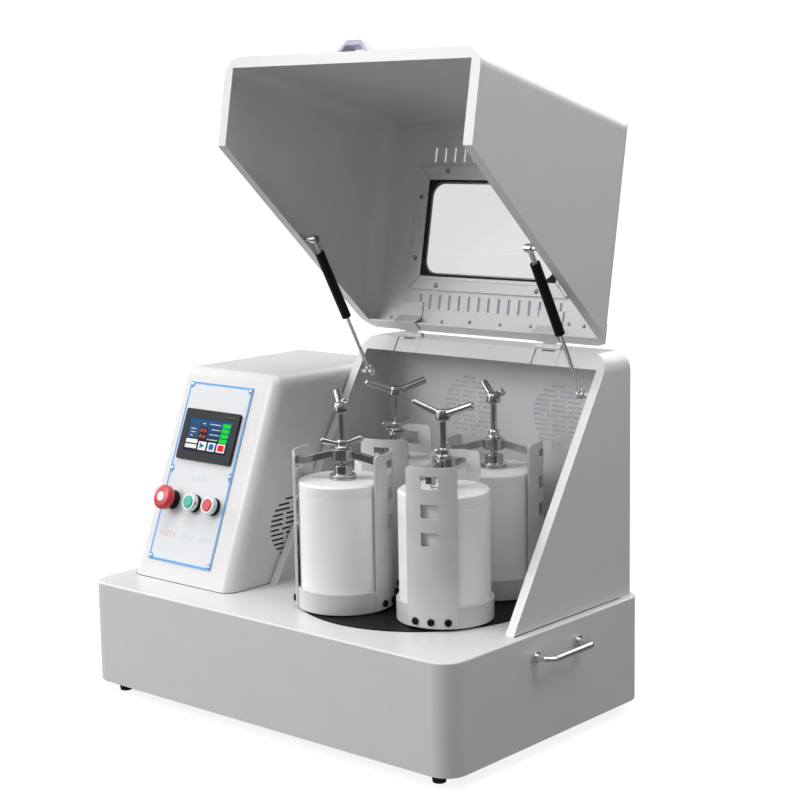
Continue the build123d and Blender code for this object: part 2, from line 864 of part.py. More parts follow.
def make_touch_screen():
    front = panel_thickness + screen_proud
    width = screen_width - 2 * screen_body_inset
    height = screen_height - 2 * screen_body_inset
    body = panel_block(screen_x, screen_rise, screen_width, screen_height, panel_thickness,
                       front, screen_corner)
    body += panel_block(screen_x, screen_rise, width, height, -screen_body_depth,
                        panel_thickness)
    body -= panel_block(screen_x, screen_rise, display_width, display_height,
                        front - display_recess, front + 1)
    glass = panel_block(screen_x, screen_rise, display_width, display_height,
                        front - display_recess, front - display_recess + display_thickness)
    return [body, glass]


def make_push_button(x):
    low = -button_barrel_depth + button_floor + button_travel + 2 * clear_gap
    cap = on_panel(x, button_rise, low, panel_thickness + button_proud, button_radius)
    top = panel_face.from_local_coords((x, button_rise, panel_thickness + button_proud))
    front = cap.faces().sort_by_distance(top)[0]
    return [chamfer(front.edges(), button_edge)]


def make_estop_button():
    low = -button_barrel_depth + button_floor + estop_travel + 2 * clear_gap
    head = on_panel(estop_x, button_rise, estop_head_low, estop_head_high, estop_radius)
    top = panel_face.from_local_coords((estop_x, button_rise, estop_head_high))
    head = chamfer(head.faces().sort_by_distance(top)[0].edges(), estop_edge)
    return [head + on_panel(estop_x, button_rise, low, estop_head_low, estop_stem_radius)]


# --- Motor and belt --------------------------------------------------------------------------

pulley_low = plate_top + pulley_rise + pulley_rim
pulley_high = pulley_low + pulley_face


def pulley(x, radius):
    """A flat belt pulley between two rims."""
    solid = post(x, turntable_y, pulley_low, pulley_high, radius)
    rim_radius = radius + pulley_rim_height
    solid += post(x, turntable_y, pulley_low - pulley_rim, pulley_low, rim_radius)
    solid += post(x, turntable_y, pulley_high, pulley_high + pulley_rim, rim_radius)
    return solid


def make_drive_motor():
    low = plate_top + motor_flange_rise
    high = low + motor_flange_thickness
    body = post(motor_x, turntable_y, high, high + motor_height, motor_radius)
    body += post(motor_x, turntable_y, low, high, motor_flange_radius)
    body -= post(motor_x, turntable_y, low - 1, low + motor_socket,
                 motor_shaft_radius + running_fit)
    for quarter in range(4):
        angle = radians(45 + 90 * quarter)
        body += post(motor_x + motor_post_circle * cos(angle),
                     turntable_y + motor_post_circle * sin(angle), plate_top, low,
                     motor_post_radius)
    return [body]


def make_motor_pulley():
    shaft_top = plate_top + motor_flange_rise + motor_socket - 2
    shaft = post(motor_x, turntable_y, pulley_high, shaft_top, motor_shaft_radius)
    return [pulley(motor_x, motor_pulley_radius) + shaft]


def belt_loop(grow):
    """The outline around both pulleys at a distance from their faces."""
    small = Pos(motor_x, turntable_y) * Circle(motor_pulley_radius + grow)
    large = Pos(turntable_x, turntable_y) * Circle(spindle_pulley_radius + grow)
    return make_hull(small.edges() + large.edges())


def make_drive_belt():
    low = (pulley_low + pulley_high - belt_width) / 2
    loop = belt_loop(clear_gap + belt_thickness) - belt_loop(clear_gap)
    return [extrude(Pos(0, 0, low) * loop, belt_width)]


# --- Gears -----------------------------------------------------------------------------------

def gear(teeth, first_angle, z_low):
    """A spur gear with straight-flanked teeth; the first tooth points to first_angle."""
    pitch_radius = gear_module * teeth / 2
    tip_radius = pitch_radius + gear_module
    root_radius = pitch_radius - 1.25 * gear_module
    slope = tan(radians(gear_pressure_angle))
    half_pitch_tooth = gear_module * pi * (0.5 - gear_thinning) / 2
    half_tip = half_pitch_tooth - gear_module * slope
    half_root = half_pitch_tooth + 1.25 * gear_module * slope
    points = []
    for tooth in range(teeth):
        middle = radians(first_angle) + 2 * pi * tooth / teeth
        for radius, half in ((root_radius, -half_root), (tip_radius, -half_tip),
                             (tip_radius, half_tip), (root_radius, half_root)):
            angle = middle + half / radius
            points.append((radius * cos(angle), radius * sin(angle)))
    outline = make_face(Polyline(points, close=True))
    return extrude(Pos(0, 0, z_low) * outline, gear_thickness)


def pinion_angle(orbit_angle):
    """Where a pinion's first tooth points so that it meshes with the sun gear."""
    sun_phase = orbit_angle * sun_teeth / 360
    return orbit_angle + 180 - (0.5 - sun_phase) * 360 / pinion_teeth


# --- Turntable, spindle and sun gear -----------------------------------------------------------

def orbit_angle(index):
    return first_orbit_angle + 360 / planet_count * index


def planet_spot(index):
    angle = radians(orbit_angle(index))
    return (turntable_x + orbit_radius * cos(angle), turntable_y + orbit_radius * sin(angle))


def make_spindle_housing():
    low = plate_top + bridge_rise
    high = low + bridge_thickness
    bridge = block(turntable_x - bridge_length / 2, turntable_x + bridge_length / 2,
                   turntable_y - bridge_depth / 2, turntable_y + bridge_depth / 2, low, high)
    bridge += post(turntable_x, turntable_y, high, gear_bottom, bearing_radius)
    for x in (-1, 1):
        for y in (-1, 1):
            bridge += post(turntable_x + x * (bridge_length / 2 - bridge_post_inset),
                           turntable_y + y * (bridge_depth / 2 - bridge_post_inset),
                           plate_top, low, bridge_post_radius)
    bridge -= post(turntable_x, turntable_y, low - 1, gear_bottom + 1,
                   spindle_radius + running_fit)
    sun = Pos(turntable_x, turntable_y, 0) * gear(sun_teeth, 0, gear_bottom)
    sun -= post(turntable_x, turntable_y, gear_bottom - 1, gear_bottom + gear_thickness + 1,
                sun_bore_radius)
    return [bridge, sun]


def make_main_spindle():
    bottom = plate_top + spindle_tail
    spindle = post(turntable_x, turntable_y, bottom, turntable_underside, spindle_radius)
    wheel = pulley(turntable_x, spindle_pulley_radius)
    wheel -= post(turntable_x, turntable_y, bottom, turntable_underside, spindle_radius)
    return [spindle, wheel]


def make_turntable():
    disc = post(turntable_x, turntable_y, turntable_underside, turntable_top, turntable_radius)
    hub_low = turntable_underside - hub_height
    disc += post(turntable_x, turntable_y, hub_low, turntable_underside, hub_radius)
    disc -= post(turntable_x, turntable_y, hub_low - 1, turntable_underside, spindle_radius)
    for index in range(planet_count):
        x, y = planet_spot(index)
        disc += post(x, y, hub_low, turntable_underside, planet_boss_radius)
    for index in range(planet_count):
        x, y = planet_spot(index)
        disc -= post(x, y, hub_low - 1, turntable_top + 1, planet_shaft_radius + running_fit)
    return [disc]


# --- Planets, drawn about their own axis with the uprights on +X and -X -------------------------

cup_bottom = turntable_top + clear_gap + planet_flange_thickness
cup_top = cup_bottom + cup_height
jar_bottom = cup_bottom + cup_floor
jar_top = jar_bottom + jar_height
jar_lid_top = jar_top + jar_lid_height
upright_low = cup_bottom + upright_start
upright_top = upright_low + upright_height
pad_top = jar_lid_top + pad_height
crossbar_low = pad_top + crossbar_gap
crossbar_top = crossbar_low + crossbar_height


def planet_place(index):
    x, y = planet_spot(index)
    return Pos(x, y, 0) * Rot(0, 0, orbit_angle(index) - upright_lag)


def make_planet_spindle(index):
    x, y = planet_spot(index)
    gear_top = gear_bottom + gear_thickness
    spindle = Pos(x, y, 0) * gear(pinion_teeth, pinion_angle(orbit_angle(index)), gear_bottom)
    shoulder_top = turntable_underside - hub_height - clear_gap
    spindle += post(x, y, gear_top, shoulder_top, planet_shoulder_radius)
    spindle += post(x, y, gear_top, cup_bottom, planet_shaft_radius)
    spindle += post(x, y, turntable_top + clear_gap, cup_bottom, planet_flange_radius)
    return [spindle]


def make_jar_holder(index):
    cup = post(0, 0, cup_bottom, cup_top, cup_radius)
    cup -= post(0, 0, jar_bottom, cup_top + 1, jar_radius + cup_play)
    outer_radius = cup_radius + upright_thickness
    ring = post(0, 0, upright_low, upright_top, outer_radius)
    ring -= post(0, 0, upright_low - 1, upright_top + 1, cup_radius)
    width = 2 * outer_radius * sin(radians(upright_half_angle))
    height = upright_height + 2 * upright_corner
    front = Plane(origin=(-outer_radius - 5, 0, 0), x_dir=(0, 1, 0), z_dir=(1, 0, 0))
    outline = Pos(0, upright_top - height / 2) * RectangleRounded(width, height, upright_corner)
    for drop in window_drops:
        outline -= Pos(0, upright_top - drop - window_height / 2) * Rectangle(window_width,
                                                                             window_height)
    uprights = ring & extrude(front * outline, 2 * outer_radius + 10)
    return [planet_place(index) * item for item in (cup, uprights)]


def make_grinding_jar(index):
    jar = post(0, 0, jar_bottom, jar_top, jar_radius)
    jar -= post(0, 0, jar_bottom + jar_floor, jar_top + 1, jar_radius - jar_wall)
    return [planet_place(index) * jar]


def make_jar_lid(index):
    lid = post(0, 0, jar_top, jar_lid_top, jar_radius)
    lid = chamfer(lid.faces().sort_by(Axis.Z)[-1].edges(), jar_lid_edge)
    return [planet_place(index) * lid]


def make_pressure_pad(index):
    pad = post(0, 0, jar_lid_top, jar_lid_top + pad_flange_height, pad_radius)
    pad += post(0, 0, jar_lid_top + pad_flange_height, pad_top, pad_boss_radius)
    pad -= post(0, 0, pad_top - pad_socket, pad_top + 1, screw_radius + running_fit)
    return [planet_place(index) * pad]


def make_clamp_crossbar(index):
    bar = post(0, 0, crossbar_low, crossbar_top, crossbar_radius)
    window_top = upright_top - window_drops[0]
    start = crossbar_radius - 3
    for side in (-1, 1):
        profile = [(start, crossbar_top - 2), (arm_knee_radius, window_top),
                   (arm_tip_radius, window_top), (arm_tip_radius, window_top - arm_height),
                   (arm_knee_radius, window_top - arm_height),
                   (start, crossbar_top - 2 - arm_height)]
        outline = make_face(Polyline([(side * x, arm_width / 2, z) for x, z in profile],
                                     close=True))
        bar += extrude(outline, arm_width, dir=(0, -1, 0))
    bar -= post(0, 0, crossbar_low - 1, crossbar_top + 1, screw_radius + running_fit)
    return [planet_place(index) * bar]


def make_clamp_screw(index):
    hub_low = crossbar_top + grip_hub_rise
    hub_high = hub_low + grip_hub_height
    screw = post(0, 0, pad_top - pad_socket + clear_gap, hub_low, screw_radius)
    screw += post(0, 0, hub_low, hub_high, grip_hub_radius)
    bar_length = grip_bar_reach / cos(radians(grip_bar_slope))
    for side in (0, 180):
        bar = Pos(0, 0, hub_low + grip_bar_rise) * Rot(0, 90 - grip_bar_slope, 0)
        screw += Rot(0, 0, side) * bar * Pos(0, 0, bar_length / 2) * Cylinder(grip_bar_radius,
                                                                             bar_length)
    x, y = planet_spot(index)
    return [Pos(x, y, 0) * Rot(0, 0, grip_angles[index]) * screw]


def make_lock_nut(index):
    low = crossbar_top + clear_gap
    nut = post(0, 0, low, low + nut_height, nut_radius)
    wing_rise = nut_wing_reach * tan(radians(nut_wing_slope))
    for side in (-1, 1):
        start = Pos(0, low + nut_wing_rise) * Circle(nut_wing_radius)
        end = Pos(side * nut_wing_reach, low + nut_wing_rise + wing_rise) * Circle(nut_wing_radius)
        wing = make_hull(start.edges() + end.edges())
        section = Plane(origin=(0, nut_wing_thickness / 2, 0), x_dir=(1, 0, 0), z_dir=(0, -1, 0))
        nut += extrude(section * wing, nut_wing_thickness)
    nut -= post(0, 0, low - 1, low + nut_height + 9, screw_radius + running_fit)
    x, y = planet_spot(index)
    return [Pos(x, y, 0) * Rot(0, 0, nut_angles[index]) * nut]


save("base_cabinet", make_base_cabinet())
save("base_plate", make_base_plate())
save("rubber_feet", make_feet())
save("side_handles", make_side_handles())
save("power_inlet", make_power_inlet())
save("rear_housing", make_rear_housing())
save("hinge_brackets", make_hinge_brackets())
save("lid_hood", make_lid_hood())
save("hinge_straps", make_hinge_straps())
save("lid_window", make_lid_window())
save("window_frame", make_window_frame())
save("lid_handle", make_lid_handle())
save("strut_tube_left", make_strut_tube(-1))
save("strut_tube_right", make_strut_tube(1))
save("strut_rod_left", make_strut_rod(-1))
save("strut_rod_right", make_strut_rod(1))
save("control_box", make_control_box())
save("control_panel", make_control_panel())
save("touch_screen", make_touch_screen())
save("start_button", make_push_button(start_x))
save("stop_button", make_push_button(stop_x))
save("estop_button", make_estop_button())
save("drive_motor", make_drive_motor())
save("motor_pulley", make_motor_pulley())
save("drive_belt", make_drive_belt())
save("spindle_housing", make_spindle_housing())
save("main_spindle", make_main_spindle())
save("turntable", make_turntable())
for number in range(1, planet_count + 1):
    save("planet_spindle_" + str(number), make_planet_spindle(number - 1))
    save("jar_holder_" + str(number), make_jar_holder(number - 1))
    save("grinding_jar_" + str(number), make_grinding_jar(number - 1))
    save("jar_lid_" + str(number), make_jar_lid(number - 1))
    save("clamp_crossbar_" + str(number), make_clamp_crossbar(number - 1))
    save("pressure_pad_" + str(number), make_pressure_pad(number - 1))
    save("clamp_screw_" + str(number), make_clamp_screw(number - 1))
    save("lock_nut_" + str(number), make_lock_nut(number - 1))
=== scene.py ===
import math
import random
import bmesh
import bpy
from mathutils import Matrix, Vector


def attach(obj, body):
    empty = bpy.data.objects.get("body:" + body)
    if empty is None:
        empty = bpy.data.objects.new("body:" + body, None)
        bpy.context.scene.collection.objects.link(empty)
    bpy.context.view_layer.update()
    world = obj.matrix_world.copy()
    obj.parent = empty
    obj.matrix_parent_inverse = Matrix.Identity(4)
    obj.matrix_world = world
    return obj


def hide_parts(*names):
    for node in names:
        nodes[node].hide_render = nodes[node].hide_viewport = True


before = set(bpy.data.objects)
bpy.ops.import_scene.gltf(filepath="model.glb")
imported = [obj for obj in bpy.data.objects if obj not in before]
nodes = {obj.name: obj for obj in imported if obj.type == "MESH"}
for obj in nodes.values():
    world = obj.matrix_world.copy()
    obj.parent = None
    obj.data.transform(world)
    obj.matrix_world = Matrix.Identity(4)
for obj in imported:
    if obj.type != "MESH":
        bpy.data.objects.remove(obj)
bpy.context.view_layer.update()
print("frame loaded:", len(nodes), "nodes")

mm = 0.001
dice = random.Random(7)

# where the camera stands, in metres; yaw is left of straight back, pitch is downwards
viewPoint = {"place": (1.8548, -2.0208, 0.9112), "yaw": 41.12, "pitch": 9.0, "roll": -0.987,
             "lens": 80.745, "sensor": 36.0, "nearest": 0.05, "farthest": 60.0}


def makeCamera():
    lens = bpy.data.cameras.new("camera")
    lens.lens = viewPoint["lens"]
    lens.sensor_width = viewPoint["sensor"]
    lens.clip_start, lens.clip_end = viewPoint["nearest"], viewPoint["farthest"]
    camera = bpy.data.objects.new("camera", lens)
    bpy.context.scene.collection.objects.link(camera)
    turn = (Matrix.Rotation(math.radians(viewPoint["yaw"]), 4, "Z")
            @ Matrix.Rotation(math.radians(90 - viewPoint["pitch"]), 4, "X")
            @ Matrix.Rotation(math.radians(viewPoint["roll"]), 4, "Z"))
    camera.matrix_world = Matrix.Translation(viewPoint["place"]) @ turn
    bpy.context.scene.camera = camera


# finishes: colour, roughness, the scale and depth of the fine surface and the mottling of the
# colour; shine is kept low on the darkest ones, and milky lets light into the nylon
finishes = {
    "casePaint": {"color": (0.70, 0.70, 0.69), "rough": 0.36, "grain": 900, "depth": 0.05,
                  "mottle": 0.015, "coat": 0.25},
    "holderPaint": {"color": (0.63, 0.63, 0.61), "rough": 0.34, "grain": 500, "depth": 0.06,
                    "mottle": 0.04, "coat": 0.2},
    "panelFilm": {"color": (0.69, 0.705, 0.725), "rough": 0.5, "grain": 1600, "depth": 0.03,
                  "mottle": 0.01, "coat": 0.0},
    "blueInk": {"color": (0.09, 0.36, 0.76), "rough": 0.5, "grain": 1600, "depth": 0.02,
                "mottle": 0.03, "coat": 0.0},
    "paleInk": {"color": (0.46, 0.60, 0.80), "rough": 0.5, "grain": 1600, "depth": 0.02,
                "mottle": 0.03, "coat": 0.0},
    "redInk": {"color": (0.72, 0.34, 0.38), "rough": 0.5, "grain": 1600, "depth": 0.02,
               "mottle": 0.03, "coat": 0.0},
    "whiteNylon": {"color": (0.92, 0.92, 0.93), "rough": 0.42, "grain": 350, "depth": 0.03,
                   "mottle": 0.015, "coat": 0.0, "milky": 0.25},
    "blackPaint": {"color": (0.006, 0.006, 0.007), "rough": 0.5, "grain": 900, "depth": 0.05,
                   "mottle": 0.2, "coat": 0.0, "shine": 0.16},
    "blackPlastic": {"color": (0.010, 0.010, 0.011), "rough": 0.5, "grain": 2200, "depth": 0.08,
                     "mottle": 0.15, "coat": 0.0, "shine": 0.16},
    "screenPlastic": {"color": (0.022, 0.024, 0.027), "rough": 0.5, "grain": 2600, "depth": 0.08,
                      "mottle": 0.1, "coat": 0.0, "shine": 0.16},
    "rubber": {"color": (0.022, 0.022, 0.022), "rough": 0.8, "grain": 1200, "depth": 0.1,
               "mottle": 0.25, "coat": 0.0, "shine": 0.16},
    "redPlastic": {"color": (0.64, 0.042, 0.055), "rough": 0.32, "grain": 1200, "depth": 0.03,
                   "mottle": 0.06, "coat": 0.15},
    "greenPlastic": {"color": (0.03, 0.46, 0.30), "rough": 0.34, "grain": 1200, "depth": 0.03,
                     "mottle": 0.06, "coat": 0.15},
    "whitePlastic": {"color": (0.80, 0.81, 0.83), "rough": 0.4, "grain": 1200, "depth": 0.03,
                     "mottle": 0.02, "coat": 0.0},
    "handlePlastic": {"color": (0.36, 0.35, 0.48), "rough": 0.35, "grain": 1500, "depth": 0.05,
                      "mottle": 0.06, "coat": 0.1},
    "motorIron": {"color": (0.06, 0.065, 0.07), "rough": 0.55, "grain": 300, "depth": 0.2,
                  "mottle": 0.15, "coat": 0.0},
    "zincPlate": {"color": (0.42, 0.43, 0.45), "rough": 0.45, "grain": 200, "depth": 0.03,
                  "mottle": 0.12, "coat": 0.0, "metal": 0.8},
    "steel": {"color": (0.50, 0.49, 0.47), "rough": 0.20, "grain": 700, "depth": 0.05,
              "mottle": 0.10, "coat": 0.0, "metal": 1.0, "brushed": 2.6},
    "lilacCloth": {"color": (0.42, 0.39, 0.52), "rough": 0.8, "grain": 2600, "depth": 0.1,
                   "mottle": 0.05, "coat": 0.0, "alpha": 0.66},
    # a paler, more see-through copy of lilacCloth, as painted backlight for the hood's far row of
    # slots
    "clothPaintedBacklit": {"color": (0.62, 0.60, 0.70), "rough": 0.8, "grain": 2600, "depth": 0.1,
                  "mottle": 0.05, "coat": 0.0, "alpha": 0.35},
    "chrome": {"color": (0.74, 0.74, 0.75), "rough": 0.12, "grain": 300, "depth": 0.01,
               "mottle": 0.04, "coat": 0.0, "metal": 1.0},
}
# what all finishes share: mottling, how far the roughness strays, and the bumps' height
surface = {"cloudScale": 22.0, "cloudDetail": 5.0, "cloudLow": 0.3, "cloudHigh": 0.7,
           "grainDetail": 3.0, "roughStray": 0.07, "roughLeast": 0.04, "bumpHeight": 0.0006,
           "coatRough": 0.12, "shine": 0.5, "milkReach": (0.006, 0.006, 0.007)}
paints = {}


def startMaterial(name):
    material = bpy.data.materials.new(name)
    material.use_nodes = True
    tree = material.node_tree
    return material, tree, tree.nodes["Principled BSDF"]


def mapTone(tree, low, high, fromLow=0.0, fromHigh=1.0):
    tone = tree.nodes.new("ShaderNodeMapRange")
    tone.inputs["From Min"].default_value, tone.inputs["From Max"].default_value = fromLow, fromHigh
    tone.inputs["To Min"].default_value, tone.inputs["To Max"].default_value = low, high
    return tone


def scaleColor(tree, color):
    shade = tree.nodes.new("ShaderNodeVectorMath")
    shade.operation = "SCALE"
    shade.inputs[0].default_value = color
    return shade


def makeFinish(name, facts):
    material, tree, shader = startMaterial(name)
    shader.inputs["Metallic"].default_value = facts.get("metal", 0.0)
    shader.inputs["Coat Weight"].default_value = facts["coat"]
    shader.inputs["Coat Roughness"].default_value = surface["coatRough"]
    shader.inputs["Alpha"].default_value = facts.get("alpha", 1.0)
    shader.inputs["Specular IOR Level"].default_value = facts.get("shine", surface["shine"])
    place = tree.nodes.new("ShaderNodeTexCoord")
    # slow mottling of the colour, a few centimetres across
    cloud = tree.nodes.new("ShaderNodeTexNoise")
    cloud.inputs["Scale"].default_value = surface["cloudScale"]
    cloud.inputs["Detail"].default_value = surface["cloudDetail"]
    tree.links.new(place.outputs["Object"], cloud.inputs["Vector"])
    tone = mapTone(tree, 1.0 - facts["mottle"], 1.0 + facts["mottle"], surface["cloudLow"],
                   surface["cloudHigh"])
    tree.links.new(cloud.outputs["Fac"], tone.inputs["Value"])
    shade = scaleColor(tree, facts["color"])
    tree.links.new(tone.outputs["Result"], shade.inputs["Scale"])
    tree.links.new(shade.outputs["Vector"], shader.inputs["Base Color"])
    # fine surface: orange peel in paint, moulding grain in plastic, brush lines in steel
    grain = tree.nodes.new("ShaderNodeTexNoise")
    grain.inputs["Scale"].default_value = facts["grain"]
    grain.inputs["Detail"].default_value = surface["grainDetail"]
    if "brushed" in facts:
        stretch = tree.nodes.new("ShaderNodeMapping")
        stretch.inputs["Scale"].default_value = (1.0, 1.0, facts["brushed"])
        tree.links.new(place.outputs["Object"], stretch.inputs["Vector"])
        tree.links.new(stretch.outputs["Vector"], grain.inputs["Vector"])
    else:
        tree.links.new(place.outputs["Object"], grain.inputs["Vector"])
    gloss = mapTone(tree, max(surface["roughLeast"], facts["rough"] - surface["roughStray"]),
                    facts["rough"] + surface["roughStray"])
    tree.links.new(grain.outputs["Fac"], gloss.inputs["Value"])
    tree.links.new(gloss.outputs["Result"], shader.inputs["Roughness"])
    bump = tree.nodes.new("ShaderNodeBump")
    bump.inputs["Strength"].default_value = facts["depth"]
    bump.inputs["Distance"].default_value = surface["bumpHeight"]
    tree.links.new(grain.outputs["Fac"], bump.inputs["Height"])
    tree.links.new(bump.outputs["Normal"], shader.inputs["Normal"])
    if "milky" in facts:
        shader.inputs["Subsurface Weight"].default_value = facts["milky"]
        shader.inputs["Subsurface Radius"].default_value = surface["milkReach"]
    return material


# the window's clear sheet, a little smeared
windowSheet = {"color": (0.10, 0.10, 0.10, 1.0), "shine": 0.12, "alpha": 0.2, "bend": 1.49,
               "smearScale": 9.0, "roughLow": 0.02, "roughHigh": 0.08}


def makeGlass():
    material, tree, shader = startMaterial("windowSheet")
    shader.inputs["Base Color"].default_value = windowSheet["color"]
    shader.inputs["Specular IOR Level"].default_value = windowSheet["shine"]
    shader.inputs["Alpha"].default_value = windowSheet["alpha"]
    shader.inputs["IOR"].default_value = windowSheet["bend"]
    smear = tree.nodes.new("ShaderNodeTexNoise")
    smear.inputs["Scale"].default_value = windowSheet["smearScale"]
    gloss = mapTone(tree, windowSheet["roughLow"], windowSheet["roughHigh"])
    tree.links.new(smear.outputs["Fac"], gloss.inputs["Value"])
    tree.links.new(gloss.outputs["Result"], shader.inputs["Roughness"])
    return material


# the lit screen: plain colours that shine a little
screenColors = {"screenBlue": (0.004, 0.036, 0.10), "screenNavy": (0.002, 0.005, 0.014),
                "screenSlate": (0.014, 0.055, 0.13), "screenWhite": (0.62, 0.63, 0.63),
                "screenGreen": (0.0, 0.50, 0.02), "screenTeal": (0.005, 0.16, 0.27),
                "screenSky": (0.01, 0.11, 0.33), "screenRed": (0.62, 0.005, 0.01),
                "screenOrange": (0.45, 0.07, 0.01), "lampGreen": (0.05, 0.4, 0.08),
                "lampAmber": (0.45, 0.25, 0.04)}


# how they shine; the blue ground of the page fades towards its foot, between two heights in metres
screenGlow = {"rough": 0.25, "shine": 0.1, "strength": 0.4, "dotScale": 1500.0,
              "dotTones": (0.85, 1.1), "fading": "screenBlue", "fadeHeights": (0.388, 0.43),
              "fadeTones": (0.3, 1.5)}


def makeGlow(name, color):
    material, tree, shader = startMaterial(name)
    shader.inputs["Roughness"].default_value = screenGlow["rough"]
    shader.inputs["Specular IOR Level"].default_value = screenGlow["shine"]
    shader.inputs["Emission Strength"].default_value = screenGlow["strength"]
    place = tree.nodes.new("ShaderNodeTexCoord")
    if name == screenGlow["fading"]:
        split = tree.nodes.new("ShaderNodeSeparateXYZ")
        tone = mapTone(tree, *screenGlow["fadeTones"], *screenGlow["fadeHeights"])
        tree.links.new(place.outputs["Object"], split.inputs[0])
        tree.links.new(split.outputs["Z"], tone.inputs["Value"])
    else:
        dots = tree.nodes.new("ShaderNodeTexNoise")
        dots.inputs["Scale"].default_value = screenGlow["dotScale"]
        tone = mapTone(tree, *screenGlow["dotTones"])
        tree.links.new(place.outputs["Object"], dots.inputs["Vector"])
        tree.links.new(dots.outputs["Fac"], tone.inputs["Value"])
    shade = scaleColor(tree, color)
    tree.links.new(tone.outputs["Result"], shade.inputs["Scale"])
    tree.links.new(shade.outputs["Vector"], shader.inputs["Base Color"])
    tree.links.new(shade.outputs["Vector"], shader.inputs["Emission Color"])
    return material


# studio: a pale floor that glows more with distance, and a room whose tone changes with height;
# shiny surfaces see a darker band round the horizon, so bright metal keeps its contrast
studio = {"floorRadius": 9.0, "floorSides": 96, "floorColor": (0.22, 0.22, 0.22),
          "floorRough": 0.85, "floorGlow": (0.86, 1.0), "glowReach": (0.5, 2.6),
          "ambient": 0.80, "backdrop": 1.12,
          "room": ((0.40, (0.33, 0.33, 0.33)), (0.52, (0.29, 0.30, 0.31)),
                   (0.85, (0.36, 0.37, 0.39))),
          "gleam": ((0.0, 0.34), (0.42, 0.10), (0.53, 0.05), (0.64, 0.30), (1.0, 0.95))}
white = (1.0, 1.0, 1.0, 1.0)
# one large key light at the front left, softer ones around it; power in watts
lights = {
    "keyLight": {"place": (-1.9, -3.1, 2.6), "size": (2.0, 2.4), "power": 97.0},
    "topLight": {"place": (0.1, -0.3, 4.2), "size": (3.4, 2.8), "power": 94.0},
    "leftFill": {"place": (-3.5, -0.3, 1.4), "size": (2.0, 2.0), "power": 60.0},
    "rightFill": {"place": (1.5, 0.15, 1.75), "size": (0.8, 0.8), "power": 6.5},
    "backFill": {"place": (0.0, 3.2, 2.2), "size": (3.0, 1.8), "power": 59.0},
    "lowFill": {"place": (-2.6, -2.8, 0.9), "size": (1.8, 1.8), "power": 14.0},
}
aimPoint = Vector((0.0, 0.0, 0.42))


def fillRamp(ramp, stops):
    marks = ramp.color_ramp.elements
    marks.remove(marks[1])
    for spot, color in stops[1:]:
        marks.new(spot).color = color + (1.0,)
    marks[0].position, marks[0].color = stops[0][0], stops[0][1] + (1.0,)


def makeRoom():
    world = bpy.data.worlds.new("studio")
    bpy.context.scene.world = world
    world.use_nodes = True
    tree = world.node_tree
    tree.nodes.clear()
    out = tree.nodes.new("ShaderNodeOutputWorld")
    path = tree.nodes.new("ShaderNodeLightPath")
    place = tree.nodes.new("ShaderNodeTexCoord")
    split = tree.nodes.new("ShaderNodeSeparateXYZ")
    lift = mapTone(tree, 0.0, 1.0, -1.0, 1.0)
    tree.links.new(place.outputs["Generated"], split.inputs[0])
    tree.links.new(split.outputs["Z"], lift.inputs["Value"])
    room = tree.nodes.new("ShaderNodeBackground")
    room.inputs["Strength"].default_value = studio["ambient"]
    gleam = tree.nodes.new("ShaderNodeBackground")
    grey = [(spot, (tone, tone, tone)) for spot, tone in studio["gleam"]]
    for background, stops in ((room, studio["room"]), (gleam, grey)):
        ramp = tree.nodes.new("ShaderNodeValToRGB")
        fillRamp(ramp, stops)
        tree.links.new(lift.outputs["Result"], ramp.inputs["Fac"])
        tree.links.new(ramp.outputs["Color"], background.inputs["Color"])
    backdrop = tree.nodes.new("ShaderNodeBackground")
    backdrop.inputs["Color"].default_value = white
    backdrop.inputs["Strength"].default_value = studio["backdrop"]
    shiny = tree.nodes.new("ShaderNodeMixShader")
    tree.links.new(path.outputs["Is Glossy Ray"], shiny.inputs[0])
    tree.links.new(room.outputs[0], shiny.inputs[1])
    tree.links.new(gleam.outputs[0], shiny.inputs[2])
    mix = tree.nodes.new("ShaderNodeMixShader")
    tree.links.new(path.outputs["Is Camera Ray"], mix.inputs[0])
    tree.links.new(shiny.outputs[0], mix.inputs[1])
    tree.links.new(backdrop.outputs[0], mix.inputs[2])
    tree.links.new(mix.outputs[0], out.inputs[0])


def makeLights():
    for name, light in lights.items():
        lamp = bpy.data.lights.new(name, "AREA")
        lamp.shape = "RECTANGLE"
        lamp.size, lamp.size_y = light["size"]
        lamp.energy = light["power"]
        holder = bpy.data.objects.new(name, lamp)
        bpy.context.scene.collection.objects.link(holder)
        holder.location = light["place"]
        holder.rotation_euler = (aimPoint - holder.location).to_track_quat("-Z", "Y").to_euler()


def makeFloor():
    form = bmesh.new()
    bmesh.ops.create_circle(form, cap_ends=True, segments=studio["floorSides"],
                            radius=studio["floorRadius"])
    mesh = bpy.data.meshes.new("floor")
    form.to_mesh(mesh)
    form.free()
    floor = bpy.data.objects.new("floor", mesh)
    bpy.context.scene.collection.objects.link(floor)
    paper, tree, shader = startMaterial("floorPaper")
    shader.inputs["Base Color"].default_value = studio["floorColor"] + (1.0,)
    shader.inputs["Roughness"].default_value = studio["floorRough"]
    shader.inputs["Emission Color"].default_value = white
    spot = tree.nodes.new("ShaderNodeTexCoord")
    away = tree.nodes.new("ShaderNodeVectorMath")
    away.operation = "LENGTH"
    glow = mapTone(tree, *studio["floorGlow"], *studio["glowReach"])
    tree.links.new(spot.outputs["Object"], away.inputs[0])
    tree.links.new(away.outputs["Value"], glow.inputs["Value"])
    tree.links.new(glow.outputs["Result"], shader.inputs["Emission Strength"])
    mesh.materials.append(paper)
    floor.visible_diffuse = False
    floor.visible_glossy = False
    bpy.context.scene.view_settings.view_transform = "Standard"


